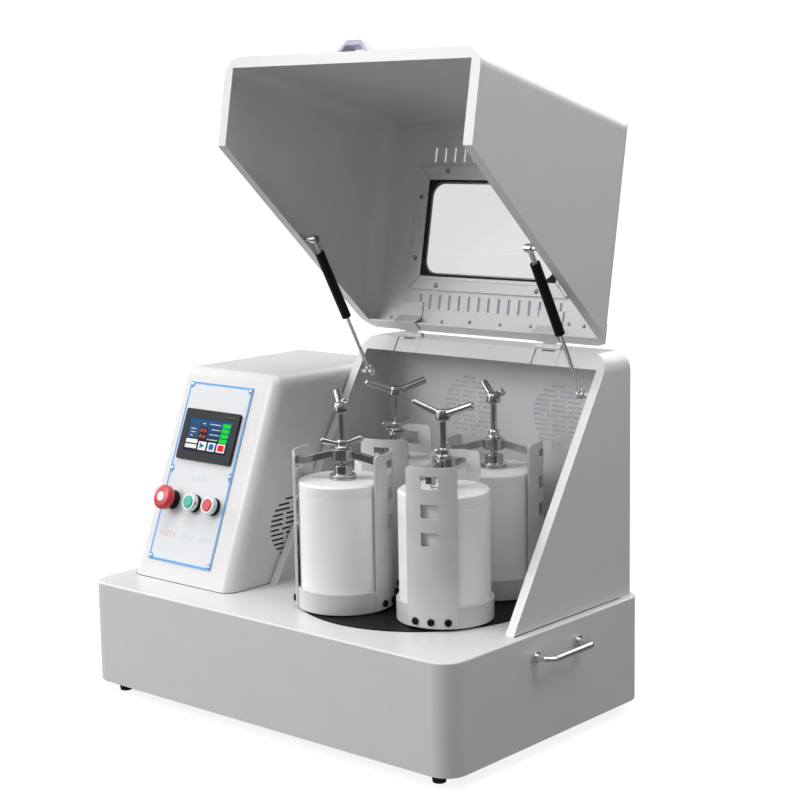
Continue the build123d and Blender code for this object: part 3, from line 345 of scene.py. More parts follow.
makeCamera()
makeRoom()
makeLights()
makeFloor()
for paintName, paintFacts in finishes.items():
    paints[paintName] = makeFinish(paintName, paintFacts)
for paintName, paintColor in screenColors.items():
    paints[paintName] = makeGlow(paintName, paintColor)
paints["windowSheet"] = makeGlass()
print("studio and", len(paints), "finishes ready")


# tools for the mesh work; every length below is in millimetres
meshCare = {"softSteps": 2, "softAngle": 33, "weldGap": 0.01, "flatAngle": 0.3, "pole": 0.001}


def softenEdges(piece, width):
    if width:
        edge = piece.modifiers.new("edges", "BEVEL")
        edge.width = width * mm
        edge.segments = meshCare["softSteps"]
        edge.limit_method = "ANGLE"
        edge.angle_limit = math.radians(meshCare["softAngle"])
        edge.use_clamp_overlap = True
    piece.modifiers.new("normals", "WEIGHTED_NORMAL").keep_sharp = True


def addPiece(name, form, body, finish, soften=0.0, place=None):
    if place is not None:
        bmesh.ops.transform(form, matrix=place, verts=form.verts)
    bmesh.ops.recalc_face_normals(form, faces=form.faces)
    bmesh.ops.scale(form, vec=(mm, mm, mm), verts=form.verts)
    mesh = bpy.data.meshes.new(name)
    form.to_mesh(mesh)
    form.free()
    for polygon in mesh.polygons:
        polygon.use_smooth = True
    mesh.materials.append(paints[finish])
    piece = bpy.data.objects.new(name, mesh)
    bpy.context.scene.collection.objects.link(piece)
    softenEdges(piece, soften)
    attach(piece, body)
    return piece


def at(x, y, z, turn=0.0):
    return Matrix.Translation((x, y, z)) @ Matrix.Rotation(math.radians(turn), 4, "Z")


def turned(form, profile, steps=48, place=None, closed=False):
    # a lathe shape: the profile is (radius, height) pairs about the local Z, with a single point
    # where the radius is nothing
    rings = []
    for radius, height in profile:
        if radius < meshCare["pole"]:
            rings.append([form.verts.new((0, 0, height))])
        else:
            rings.append([form.verts.new((radius * math.cos(2 * math.pi * k / steps),
                                          radius * math.sin(2 * math.pi * k / steps), height))
                          for k in range(steps)])
    pairs = list(zip(rings, rings[1:]))
    if closed:
        pairs.append((rings[-1], rings[0]))
    for low, high in pairs:
        for k in range(steps):
            n = (k + 1) % steps
            if len(low) == 1 and len(high) > 1:
                form.faces.new((low[0], high[k], high[n]))
            elif len(high) == 1 and len(low) > 1:
                form.faces.new((low[k], low[n], high[0]))
            elif len(low) > 1:
                form.faces.new((low[k], low[n], high[n], high[k]))
    if place is not None:
        bmesh.ops.transform(form, matrix=place, verts=[v for ring in rings for v in ring])


def plate(form, outline, low, high, place=None):
    # a flat sheet from a closed outline of (x, y) points
    base = [form.verts.new((x, y, low)) for x, y in outline]
    top = [form.verts.new((x, y, high)) for x, y in outline]
    form.faces.new(list(reversed(base)))
    form.faces.new(top)
    for k in range(len(outline)):
        n = (k + 1) % len(outline)
        form.faces.new((base[k], base[n], top[n], top[k]))
    if place is not None:
        bmesh.ops.transform(form, matrix=place, verts=base + top)


def rectangle(width, height, x=0.0, y=0.0):
    return [(x - width / 2, y - height / 2), (x + width / 2, y - height / 2),
            (x + width / 2, y + height / 2), (x - width / 2, y + height / 2)]


def stepped(radius, base, pairs):
    # lathe points from (inset, rise) pairs, off a full radius and a bottom height
    return [(radius - inset, base + rise) for inset, rise in pairs]


def slab(form, left, right, near, far, low, high, place=None):
    # a straight-edged plate between two places along each side
    plate(form, rectangle(right - left, far - near, (left + right) / 2, (near + far) / 2),
          low, high, place)


def roundedRectangle(width, height, radius, x=0.0, y=0.0, steps=6):
    points = []
    for corner, (sx, sy) in enumerate(((1, 1), (-1, 1), (-1, -1), (1, -1))):
        for step in range(steps + 1):
            angle = math.radians(90 * corner + 90 * step / steps)
            points.append((x + sx * (width / 2 - radius) + radius * math.cos(angle),
                           y + sy * (height / 2 - radius) + radius * math.sin(angle)))
    return points


def disc(radius, x=0.0, y=0.0, steps=32):
    return [(x + radius * math.cos(2 * math.pi * k / steps),
             y + radius * math.sin(2 * math.pi * k / steps)) for k in range(steps)]


# a small domed screw, head up, with a black cross on top as painted shade in its recess and, where
# asked, a washer's painted shadow line
screwSize = {"head": 3.2, "height": 1.7, "brim": 0.3, "domeSteps": 5, "cross": 1.9,
             "crossWidth": 0.55, "crossDepth": 0.55, "crossProud": 0.03, "shadowRingHeight": 0.2,
             "sides": 24}


def domedScrew(name, body, place, scale=1.0, finish="steel", rim=0.0):
    head, height = screwSize["head"] * scale, screwSize["height"] * scale
    brim, steps = screwSize["brim"] * scale, screwSize["domeSteps"]
    dome = [(0, 0), (head, 0)]
    for step in range(1, steps):
        angle = math.pi / 2 * step / steps
        dome.append((head * math.cos(angle), brim + (height - brim) * math.sin(angle)))
    dome.append((0, height))
    form = bmesh.new()
    turned(form, dome, screwSize["sides"])
    addPiece(name, form, body, finish, place=place)
    # painted shade: a black cross for the shaded recess and, where asked, a black ring round the
    # head's foot for the washer's shadow
    form = bmesh.new()
    for turn in (0, 90):
        plate(form, rectangle(2 * screwSize["cross"] * scale, screwSize["crossWidth"] * scale),
              height - screwSize["crossDepth"] * scale, height + screwSize["crossProud"],
              Matrix.Rotation(math.radians(turn), 4, "Z"))
    if rim:
        turned(form, [(0, 0), (head + rim, 0), (head + rim, screwSize["shadowRingHeight"]),
                      (0, screwSize["shadowRingHeight"])], screwSize["sides"])
    addPiece(name + "PaintedShade", form, body, "blackPlastic", place=place)


def dressNode(name, finish, soften, pick=None):
    # gives a carried-over node its finish; pick names another one for some of its faces
    node = nodes[name]
    mesh = node.data
    mesh.materials.clear()
    mesh.materials.append(paints[finish])
    used = [finish]
    for polygon in mesh.polygons:
        polygon.use_smooth = True
        other = pick(polygon.center / mm) if pick else None
        if other and other not in used:
            mesh.materials.append(paints[other])
            used.append(other)
        polygon.material_index = used.index(other or finish)
    weld = node.modifiers.new("weld", "WELD")
    weld.merge_threshold = meshCare["weldGap"] * mm
    flat = node.modifiers.new("flat", "DECIMATE")
    flat.decimate_type = "DISSOLVE"
    flat.angle_limit = math.radians(meshCare["flatAngle"])
    flat.delimit = {"MATERIAL"}
    softenEdges(node, soften)


# how the hood and the sloping panel lie
hoodSwing = {"hingeY": 167.984, "hingeZ": 560.0, "angle": -100.5}
hoodPlace = (Matrix.Translation((0, hoodSwing["hingeY"], hoodSwing["hingeZ"]))
             @ Matrix.Rotation(math.radians(hoodSwing["angle"]), 4, "X")
             @ Matrix.Translation((0, -hoodSwing["hingeY"], -hoodSwing["hingeZ"])))
panelSlope = {"frontY": -164.0, "baseZ": 181.4, "lean": 21.4}
panelPlace = (Matrix.Translation((0, panelSlope["frontY"], panelSlope["baseZ"]))
              @ Matrix.Rotation(math.radians(90 - panelSlope["lean"]), 4, "X"))

# the folded covers, painted, and what is fixed to them: finish and softened edge
covers = {"base_cabinet": ("casePaint", 1.2), "rear_housing": ("casePaint", 0.9),
          "lid_hood": ("casePaint", 0.9), "control_box": ("casePaint", 1.0),
          "base_plate": ("zincPlate", 0.4), "rubber_feet": ("rubber", 0.8),
          "power_inlet": ("blackPlastic", 0.4), "side_handles": ("chrome", 0.4),
          "hinge_brackets": ("casePaint", 0.4), "hinge_straps": ("casePaint", 0.4),
          "lid_handle": ("handlePlastic", 1.2), "lid_window": ("windowSheet", 0.4)}
# the strut studs welded inside the hood stay bare metal
hoodStuds = {"y": 9.35, "z": 723.63, "reach": 6.7, "left": -121.0, "right": 360.0}


def studFinish(spot):
    h = hoodStuds
    near = math.hypot(spot.y - h["y"], spot.z - h["z"]) < h["reach"]
    if near and h["left"] < spot.x < h["right"]:
        return "chrome"


def dressCovers():
    for name, (finish, soften) in covers.items():
        dressNode(name, finish, soften, studFinish if name == "lid_hood" else None)


# black strips as painted shade along the seams between the base and the rear housing's right and
# back walls, and round the control box's foot
seam = {"right": 362.5, "back": 216.0, "near": -76.0, "left": -95.0, "corner": 28.0,
        "low": 181.3, "high": 182.5, "proud": 0.5,
        "box": (-355.5, -126.0, -164.0, 224.0), "boxCorner": 22.0, "boxHigh": 182.2}


def makeSeamShade():
    form = bmesh.new()
    out, low, high = seam["proud"], seam["low"], seam["high"]
    slab(form, seam["right"] - out, seam["right"] + out, seam["near"],
         seam["back"] - seam["corner"], low, high)
    slab(form, seam["left"], seam["right"] - seam["corner"], seam["back"] - out,
         seam["back"] + out, low, high)
    addPiece("housingSeamShade", form, "base", "blackPlastic")
    form = bmesh.new()
    left, right, front, back = seam["box"]
    plate(form, roundedRectangle(right - left + out, back - front + out, seam["boxCorner"],
                                 (left + right) / 2, (front + back) / 2),
          low, seam["boxHigh"])
    addPiece("boxSeamShade", form, "base", "blackPlastic")


dressCovers()
makeSeamShade()
print("covers dressed")

# the works under the turntable
works = {"drive_motor": "motorIron", "motor_pulley": "steel", "drive_belt": "rubber",
         "spindle_housing": "motorIron", "main_spindle": "steel", "turntable": "blackPaint"}
worksEdge = 0.4
for workName, workFinish in works.items():
    dressNode(workName, workFinish, worksEdge)
print("works dressed")

# the hood's window, in the closed hood's place: mitred strips with a ridge, gasket, screws
hoodWindow = {"x": 119.5, "y": -6.09, "length": 314.0, "height": 199.0, "strip": 22.0,
              "band": 550.0, "back": 555.0, "ridge": 548.9, "ridgeWidth": 6.0, "mitreGap": 0.7,
              "ridgeSunk": 0.2, "stripEdge": 0.45, "screwInset": 8.0, "screwAlong": 99.5,
              "screwUp": 49.5, "screwTurn": 31, "screwShadowRing": 0.7, "rubberLip": 6.0,
              "rubberTop": 3.4, "rubberCorner": 22.0, "rubberGap": 0.3, "rubberLow": 549.9,
              "rubberHigh": 551.2, "rubberEdge": 0.2, "rubberSteps": 10, "least": 0.01}
headDown = Matrix.Rotation(math.pi, 4, "X")  # turns a screw to point its head down


def mitredStrip(form, length, height, width, low, high, turn, margin=0.0):
    half = length / 2 - hoodWindow["mitreGap"] - margin
    start = -height / 2 + margin
    plate(form, [(-half, start), (half, start), (half - width, start + width),
                 (-half + width, start + width)], low, high,
          at(hoodWindow["x"], hoodWindow["y"], 0, turn))


def makeStrips():
    w = hoodWindow
    form = bmesh.new()
    for turn in (0, 90, 180, 270):
        length, height = w["length"], w["height"]
        if turn % 180:
            length, height = height, length
        mitredStrip(form, length, height, w["strip"], w["band"], w["back"], turn)
        mitredStrip(form, length, height, w["ridgeWidth"], w["ridge"],
                    w["band"] + w["ridgeSunk"], turn, w["strip"] - w["ridgeWidth"])
    strips = addPiece("windowStrips", form, "lid", "casePaint", w["stripEdge"], place=hoodPlace)
    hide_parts("window_frame")


def makeRubber():
    w = hoodWindow
    form = bmesh.new()
    inner = roundedRectangle(w["length"] - 2 * w["strip"] - 2 * w["rubberLip"],
                             w["height"] - 2 * w["strip"] - 2 * w["rubberTop"],
                             w["rubberCorner"], steps=w["rubberSteps"])
    wide = w["length"] / 2 - w["strip"] - w["rubberGap"]
    tall = w["height"] / 2 - w["strip"] - w["rubberGap"]
    outer = []
    for x, y in inner:
        # the same number of points pushed out to the square edge of the strips
        reach = min(wide / max(abs(x), w["least"]), tall / max(abs(y), w["least"]))
        outer.append((x * reach, y * reach))
    rings = [[form.verts.new((x + w["x"], y + w["y"], z)) for x, y in path]
             for path, z in ((inner, w["rubberLow"]), (outer, w["rubberLow"]),
                             (outer, w["rubberHigh"]), (inner, w["rubberHigh"]))]
    for a, b in zip(rings, rings[1:] + rings[:1]):
        for k in range(len(a)):
            n = (k + 1) % len(a)
            form.faces.new((a[k], a[n], b[n], b[k]))
    gasket = addPiece("windowRubber", form, "lid", "rubber", w["rubberEdge"], place=hoodPlace)
    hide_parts("window_frame")


def makeWindowScrews():
    w = hoodWindow
    spots = []
    for side in (-1, 1):
        for other in (-1, 1):
            spots.append((side * w["screwAlong"], other * (w["height"] / 2 - w["screwInset"])))
            spots.append((side * (w["length"] / 2 - w["screwInset"]), other * w["screwUp"]))
    for count, (x, y) in enumerate(spots, 1):
        seat = at(w["x"] + x, w["y"] + y, w["band"], w["screwTurn"] * count)
        domedScrew("windowScrew%d" % count, "lid", hoodPlace @ seat @ headDown,
                   rim=w["screwShadowRing"])


makeStrips()
makeRubber()
makeWindowScrews()
print("hood window ready")

# the doubled sheet at the hood's hinge edge, its rivets and the welds at the straps
hem = {"left": -113.0, "right": 352.0, "near": 127.0, "far": 157.0, "face": 554.1,
       "under": 555.05, "rivets": ((36.1, 143.0), (92.8, 140.0), (152.6, 140.5), (212.3, 139.0),
                                   (283.0, 131.0), (311.0, 133.0), (-70.0, 141.0)),
       "edge": 0.3, "rivetTurn": 40, "rivetScale": 0.72, "rivetShadowRing": 0.5}
# a lumpy row of beads across each strap's foot, its ends drawn out along the strap's sides
weld = {"straps": (-28.0, 249.0), "half": 24.0, "y": 131.0, "sideY": 145.0, "beads": 26,
        "sideBeads": 2, "strayX": 0.6, "strayY": 1.0, "least": 0.9, "most": 1.7, "sides": 10,
        "sunk": 0.2}


def makeHem():
    h = hem
    form = bmesh.new()
    slab(form, h["left"], h["right"], h["near"], h["far"], h["face"], h["under"])
    addPiece("hoodHem", form, "lid", "casePaint", h["edge"], place=hoodPlace)
    for count, (x, y) in enumerate(h["rivets"], 1):
        domedScrew("hemScrew%d" % count, "lid",
                   hoodPlace @ at(x, y, h["face"], h["rivetTurn"] * count) @ headDown,
                   h["rivetScale"], rim=h["rivetShadowRing"])


def makeWelds():
    form = bmesh.new()
    face, last = hem["face"], weld["beads"] - 1
    for strap in weld["straps"]:
        for bead in range(weld["beads"]):
            x = (strap - weld["half"] + 2 * weld["half"] * bead / last
                 + dice.uniform(-weld["strayX"], weld["strayX"]))
            y = weld["y"] + dice.uniform(-weld["strayY"], weld["strayY"])
            if min(bead, last - bead) < weld["sideBeads"]:
                y = dice.uniform(weld["y"], weld["sideY"])
            size = dice.uniform(weld["least"], weld["most"])
            turned(form, [(0, face + weld["sunk"]), (size, face + weld["sunk"]),
                          (size * 0.85, face - size * 0.45), (size * 0.4, face - size * 0.7),
                          (0, face - size * 0.75)], weld["sides"], at(x, y, 0))
    addPiece("strapWelds", form, "lid", "casePaint", place=hoodPlace)


# fine cloth behind the housing's round grilles and the hood's slots, the far row of slots in a
# paler copy as painted backlight, and a black disc as painted shade behind the control box's grille
dustClothAndShade = {"radius": 50.5, "grilles": ((53.0, 445.0), (231.0, 445.0)), "backY": (214.6, 214.9),
             "boxGrille": (-20.0, 264.4), "boxX": (-127.7, -127.3),
             "slotRows": (("slotClothNear", 111.9, "lilacCloth"),
                          ("slotClothFar", -124.1, "clothPaintedBacklit")),
             "slotX": (-19.0, 272.0), "slotHalf": 13.0, "slotZ": (556.5, 556.8)}


def makeDustClothAndShade():
    c = dustClothAndShade
    upright = Matrix.Rotation(math.pi / 2, 4, "X")
    form = bmesh.new()
    for x, z in c["grilles"]:
        plate(form, disc(c["radius"], x, z), *c["backY"],
              upright @ Matrix.Diagonal((1.0, 1.0, -1.0, 1.0)))
    addPiece("grilleCloth", form, "base", "lilacCloth")
    # painted shade: a black disc behind the control box's grille, where the box's inside is in
    # shade
    form = bmesh.new()
    plate(form, disc(c["radius"], *c["boxGrille"]), *c["boxX"],
          Matrix.Rotation(math.pi / 2, 4, "Z") @ upright)
    addPiece("boxGrilleShade", form, "base", "blackPlastic")
    # the far row takes the paler copy of the cloth: painted backlight
    for name, y, finish in c["slotRows"]:
        form = bmesh.new()
        slab(form, *c["slotX"], y - c["slotHalf"], y + c["slotHalf"], *c["slotZ"])
        addPiece(name, form, "lid", finish, place=hoodPlace)


makeHem()
makeWelds()
makeDustClothAndShade()
print("hood hem and dust cloth ready")

# the milling stations: holder, jar, pad, crossbar, screw with its T handle, lock nut; a rim or
# side is a list of (inset, rise) pairs, a dome has shares of the head's radius and depth, and a
# tip has shares of a radius with the way back from the bar's end
station = {"centre": (120.0, 8.5), "orbit": 120.0, "angles": (237.5, 327.5, 57.5, 147.5),
           "lag": 34.0, "holderEdge": 0.5, "spindleEdge": 0.3, "jarEdge": 0.8, "lidEdge": 0.9,
           "barEdge": 0.9}
bolt = {"angles": (-19, 0, 19), "out": 75.0, "height": 194.9, "head": 5.4, "depth": 3.4,
        "sunk": 1.2, "dome": ((1.0, 0.55), (0.86, 0.86), (0.62, 1.0)), "socket": 2.6,
        "socketDepth": 1.6, "socketFoot": 0.9, "floor": (1.75, 1.5), "floorShare": 0.86,
        "edge": 0.25, "sides": 24, "socketSides": 6}
pad = {"bottom": 376.1, "top": 397.6, "radius": 20.0, "disc": 7.5, "boss": 14.0, "soft": 1.2,
       "rim": ((0.6, 0.0), (0.0, 0.6), (0.0, 3.0), (0.4, 3.4), (2.4, 3.5), (2.4, 4.2),
               (0.6, 4.3), (0.0, 4.7), (0.0, 6.7), (0.8, 7.5)),
       "boreGap": 0.2, "boreDepth": 4.4, "sides": 64}
grip = {"angles": (140.0, 13.0, 145.0, 53.0), "shaft": 5.0, "shaftLow": 393.9,
        "shaftChamfer": 0.8, "thread": (437.0, 474.5), "pitch": 1.5, "ridge": 0.45,
        "hubLow": 477.0, "hubRadius": 11.0,
        "hubSide": ((6.0, -0.2), (0.9, -0.2), (0.0, 0.7), (0.0, 3.2), (0.5, 7.5), (1.4, 13.4),
                    (2.3, 14.5), (3.6, 15.0), (7.6, 15.0), (8.1, 14.1), (11.0, 13.9)),
        "barRadius": 5.7, "barReach": 48.0, "barSlope": 20.0, "barStart": 483.5,
        "barRoot": 1.0, "barRootShare": 0.94, "barFull": 12.0,
        "barTip": ((1.0, 1.6), (0.88, 0.5), (0.68, 0.0)), "dimple": 2.2,
        "dimpleTip": ((1.0, 0.0), (0.8, 1.3), (0.0, 1.6)), "hubSides": 48, "barSides": 32}
nut = {"angles": (55.0, 111.0, 131.0, 90.0), "low": 422.3, "radius": 10.6, "bore": 5.2,
       "side": ((5.4, 0.0), (0.6, 0.0), (0.0, 0.7), (0.1, 2.4), (1.3, 3.4), (2.0, 4.6),
                (2.3, 8.0), (3.0, 11.6), (4.0, 13.2), (5.4, 13.2)),
       "wingReach": 29.0, "wingRadius": 5.0, "wingRise": 5.5, "wingSlope": 15.0,
       "wingFlat": 0.66, "wingRoot": 1.2, "rootShare": 0.92, "waistShare": 0.80,
       "waistReach": 0.45, "tipAngles": (0, 22, 45, 66, 82), "edge": 0.9,
       "sides": 48, "wingSides": 24}


def onStation(number, turn=0.0):
    angle = math.radians(station["angles"][number - 1])
    return at(station["centre"][0] + station["orbit"] * math.cos(angle),
              station["centre"][1] + station["orbit"] * math.sin(angle), 0, turn)


def dressHolder(number):
    body = "planet_%d" % number
    turn = station["angles"][number - 1] - station["lag"]
    dressNode("jar_holder_%d" % number, "holderPaint", station["holderEdge"])
    dressNode("planet_spindle_%d" % number, "steel", station["spindleEdge"])
    heads, sockets = bmesh.new(), bmesh.new()
    r, deep, hole = bolt["head"], bolt["depth"], bolt["socket"]
    foot, roof = (deep - drop for drop in bolt["floor"])
    inner = hole * bolt["floorShare"]
    for side in (0, 180):
        for tilt in bolt["angles"]:
            out = (onStation(number, turn + side + tilt)
                   @ Matrix.Translation((bolt["out"], 0, bolt["height"]))
                   @ Matrix.Rotation(math.pi / 2, 4, "Y"))
            turned(heads, [(0, -bolt["sunk"]), (r, -bolt["sunk"])]
                   + [(r * wide, deep * tall) for wide, tall in bolt["dome"]]
                   + [(hole, deep), (hole * bolt["socketFoot"], deep - bolt["socketDepth"]),
                      (0, deep - bolt["socketDepth"])], bolt["sides"], out)
            turned(sockets, [(0, foot), (inner, foot), (inner, roof), (0, roof)],
                   bolt["socketSides"], out)
    addPiece("holderBolts%d" % number, heads, body, "blackPaint", bolt["edge"])
    addPiece("boltSockets%d" % number, sockets, body, "blackPlastic")


def dressJar(number):
    dressNode("grinding_jar_%d" % number, "whiteNylon", station["jarEdge"])
    dressNode("jar_lid_%d" % number, "whiteNylon", station["lidEdge"])


def makePad(number):
    low, top, soft = pad["bottom"], pad["top"], pad["soft"]
    step, boss = low + pad["disc"], pad["boss"]
    bore, floor = grip["shaft"] + pad["boreGap"], top - pad["boreDepth"]
    form = bmesh.new()
    turned(form, [(0, low)] + stepped(pad["radius"], low, pad["rim"])
           + [(boss + soft, step), (boss, step + soft), (boss, top - soft), (boss - soft, top),
              (bore, top), (bore, floor), (0, floor)], pad["sides"])
    piece = addPiece("pressurePad%d" % number, form, "pad_%d" % number, "steel",
                     place=onStation(number))
    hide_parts("pressure_pad_%d" % number)


def makeScrew(number):
    shaft, foot, chamfer = grip["shaft"], grip["shaftLow"], grip["shaftChamfer"]
    outline = [(0, foot), (shaft - chamfer, foot), (shaft, foot + chamfer)]
    height, end = grip["thread"]
    while height < end:
        # one turn of the thread: a crest and a root
        outline += [(shaft, height), (shaft - grip["ridge"], height + grip["pitch"] / 2)]
        height += grip["pitch"]
    form = bmesh.new()
    turned(form, outline + stepped(grip["hubRadius"], grip["hubLow"], grip["hubSide"]),
           grip["hubSides"])
    bar, root, dimple = grip["barRadius"], grip["barRoot"], grip["dimple"]
    slope = math.radians(grip["barSlope"])
    reach = grip["barReach"] / math.cos(slope)
    for side in (0, 180):
        place = (Matrix.Translation((0, 0, grip["barStart"]))
                 @ Matrix.Rotation(math.radians(side), 4, "Z")
                 @ Matrix.Rotation(math.pi / 2 - slope, 4, "Y"))
        turned(form, [(0, root), (bar * grip["barRootShare"], root), (bar, grip["barFull"])]
               + [(bar * wide, reach - back) for wide, back in grip["barTip"]]
               + [(dimple * wide, reach - back) for wide, back in grip["dimpleTip"]],
               grip["barSides"], place)
    piece = addPiece("clampHandle%d" % number, form, "screw_%d" % number, "steel",
                     place=onStation(number, grip["angles"][number - 1]))
    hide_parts("clamp_screw_%d" % number)


def makeNut(number):
    form = bmesh.new()
    turned(form, stepped(nut["radius"], nut["low"], nut["side"]), nut["sides"], closed=True)
    wing, reach, root = nut["wingRadius"], nut["wingReach"], nut["bore"] + nut["wingRoot"]
    for side in (0, 180):
        # a flattened prong that rises outwards and ends in a rounded tip
        place = (Matrix.Translation((0, 0, nut["low"] + nut["wingRise"]))
                 @ Matrix.Rotation(math.radians(side), 4, "Z")
                 @ Matrix.Rotation(math.radians(90 - nut["wingSlope"]), 4, "Y")
                 @ Matrix.Diagonal((1.0, nut["wingFlat"], 1.0, 1.0)))
        tip = [(wing * math.cos(math.radians(a)), reach + wing * math.sin(math.radians(a)))
               for a in nut["tipAngles"]]
        turned(form, [(0, root), (wing * nut["rootShare"], root),
                      (wing * nut["waistShare"], reach * nut["waistReach"])]
               + tip + [(0, reach + wing)], nut["wingSides"], place)
    piece = addPiece("wingNut%d" % number, form, "nut_%d" % number, "steel", nut["edge"],
                     place=onStation(number, nut["angles"][number - 1]))
    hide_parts("lock_nut_%d" % number)


for number in (1, 2, 3, 4):
    dressHolder(number)
    dressJar(number)
    makePad(number)
    dressNode("clamp_crossbar_%d" % number, "steel", station["barEdge"])
    makeScrew(number)
    makeNut(number)
    print("station", number, "ready")

# the gas struts: black tubes with bright ends
struts = {"top": (9.35, 723.63), "low": (135.0, 499.0), "eye": 24.5, "tubeEdge": 0.5,
          "rodEdge": 0.3}


def strutFinish(spot):
    top, low = Vector(struts["top"]), Vector(struts["low"])
    along = (Vector((spot.y, spot.z)) - top).dot((low - top).normalized())
    if along < struts["eye"]:
        return "chrome"


for side in ("left", "right"):
    dressNode("strut_tube_%s" % side, "blackPaint", struts["tubeEdge"], strutFinish)
    dressNode("strut_rod_%s" % side, "chrome", struts["rodEdge"])
print("struts dressed")

# the sloping panel: film with a blue border, lugs and screws
panel = {"x": -250.1, "width": 145.2, "low": 29.8, "high": 327.0, "face": 1.5, "corner": 1.2,
         "edge": 0.3, "line": 3.6, "lineHeight": 0.12, "lineSunk": 0.05, "cornerLug": 12.0,
         "middleLug": 9.5, "lugProud": 0.02, "middleRise": 180.5, "screwInset": 5.0,
         "screwLift": 0.1, "screwTurn": 24, "screwScale": 0.95}


def sector(radius, start, sweep, x, y, steps=10):
    points = [(x, y)]
    for step in range(steps + 1):
        angle = math.radians(start + sweep * step / steps)
        points.append((x + radius * math.cos(angle), y + radius * math.sin(angle)))
    return points


def dressPanel():
    p = panel
    left, right = p["x"] - p["width"] / 2, p["x"] + p["width"] / 2
    middle = (p["low"] + p["high"]) / 2
    form = bmesh.new()
    plate(form, roundedRectangle(p["width"], p["high"] - p["low"], p["corner"], p["x"], middle,
                                 4), 0.0, p["face"], panelPlace)
    board = addPiece("panelPlate", form, "base", "panelFilm", p["edge"])
    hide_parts("control_panel")
    form = bmesh.new()
    low, high = p["face"] - p["lineSunk"], p["face"] + p["lineHeight"]
    for y in (p["low"], p["high"] - p["line"]):
        slab(form, left, right, y, y + p["line"], low, high, panelPlace)
    for x in (left, right - p["line"]):
        slab(form, x, x + p["line"], p["low"] + p["line"], p["high"] - p["line"], low, high,
             panelPlace)
    lugs = [(left, p["low"], 0), (right, p["low"], 90), (right, p["high"], 180),
            (left, p["high"], 270)]
    high += p["lugProud"]
    for x, y, start in lugs:
        plate(form, sector(p["cornerLug"], start, 90, x, y), low, high, panelPlace)
    for x, start in ((left, -90), (right, 90)):
        plate(form, sector(p["middleLug"], start, 180, x, p["middleRise"])[1:], low, high,
              panelPlace)
    addPiece("panelBorder", form, "base", "blueInk")
    spots = [(x, y) for x in (left + p["screwInset"], right - p["screwInset"])
             for y in (p["low"] + p["screwInset"], p["middleRise"], p["high"] - p["screwInset"])]
    for count, (x, y) in enumerate(spots, 1):
        domedScrew("panelScrew%d" % count, "base",
                   panelPlace @ at(x, y, p["face"] + p["screwLift"], p["screwTurn"] * count),
                   p["screwScale"], "chrome")


# faint captions round the buttons: finish, left end, right end, rise
captions = [("paleInk", -268.8, -233.2, 169.5), ("redInk", -309.5, -278.5, 75.2),
            ("paleInk", -261.0, -235.1, 73.6), ("paleInk", -219.0, -193.7, 74.7)]


# each sign is a few short strokes of unequal length, crossed by an upright one
sign = {"pitch": 7.6, "strokes": 4, "least": 2.2, "most": 5.2, "thick": 0.7, "middle": 3.0,
        "stray": 0.8, "drop": 3.0, "gap": 2.0, "tall": 6.6, "uprightLeast": 1.4,
        "uprightMost": 4.6, "strokeProud": 0.06, "uprightProud": 0.05}


def makeCaptions():
    low = panel["face"] - panel["lineSunk"]
    for count, (finish, left, right, rise) in enumerate(captions, 1):
        form = bmesh.new()
        x = left
        while x < right:
            for step in range(sign["strokes"]):
                wide = dice.uniform(sign["least"], sign["most"])
                stray = dice.uniform(-sign["stray"], sign["stray"])
                plate(form, rectangle(wide, sign["thick"], x + sign["middle"] + stray,
                                      rise - sign["drop"] + sign["gap"] * step),
                      low, panel["face"] + sign["strokeProud"], panelPlace)
            upright = x + dice.uniform(sign["uprightLeast"], sign["uprightMost"])
            plate(form, rectangle(sign["thick"], sign["tall"], upright, rise), low,
                  panel["face"] + sign["uprightProud"], panelPlace)
            x += sign["pitch"]
        addPiece("panelCaption%d" % count, form, "base", finish)


dressPanel()
makeCaptions()
print("panel dressed")

# the push-buttons: collar, bright ring and white rim round a coloured cap; sides are (inset, rise)
# pairs from the collar's or ring's radius
pushButton = {"rise": 130.0, "places": (("start", -246.5, "greenPlastic"),
                                        ("stop", -202.7, "redPlastic")),
              "edge": 0.4, "cap": 10.0, "front": 17.0, "radius": 14.5, "collarGap": 2.0,
              "collarSide": ((0.0, 1.4), (0.0, 2.4), (0.9, 3.0), (0.9, 7.5), (1.6, 8.0)),
              "ringLow": 8.0, "ringGap": 0.3,
              "ringSide": ((0.7, 0.0), (0.0, 0.7), (0.0, 3.6), (0.35, 4.0), (0.35, 4.6),
                           (0.0, 5.0), (0.0, 7.6), (0.9, 8.7)), "ringLip": 8.8,
              "rimGap": 0.15, "rimInset": 0.5, "rimProud": 0.45, "rimDepth": 1.0,
              "rimOuter": (0.6, 0.5), "rimInner": (0.4, 0.4), "sides": 64, "ringSides": 72}
# the emergency stop: collar on the panel, and a red cap with a white disc on a bright skirt
estop = {"x": -297.6, "radius": 20.0, "low": 17.0, "high": 31.0, "stem": 8.0, "stemGap": 0.6,
         "stemDepth": 5.5, "collar": 15.5,
         "collarSide": ((0.0, 1.4), (0.0, 3.0), (1.0, 3.8), (1.0, 10.0), (2.0, 11.0)),
         "brim": ((3.0, 2.0), (1.3, 0.7), (0.3, 1.6)), "roundOut": 6.4, "roundUp": 6.6,
         "roundDrop": 7.4, "roundStart": -12, "roundSweep": 90, "roundSteps": 8,
         "crown": (9.0, 0.35), "disc": 7.6, "discGap": 0.2, "discSunk": 0.4,
         "discDrop": (0.5, 0.1, 0.02), "discEdge": 0.4, "skirt": 14.5,
         "skirtSide": ((6.5, -0.8), (1.2, -0.5), (0.0, 0.2), (0.0, 2.4)), "sides": 64,
         "capSides": 72, "discSides": 48}


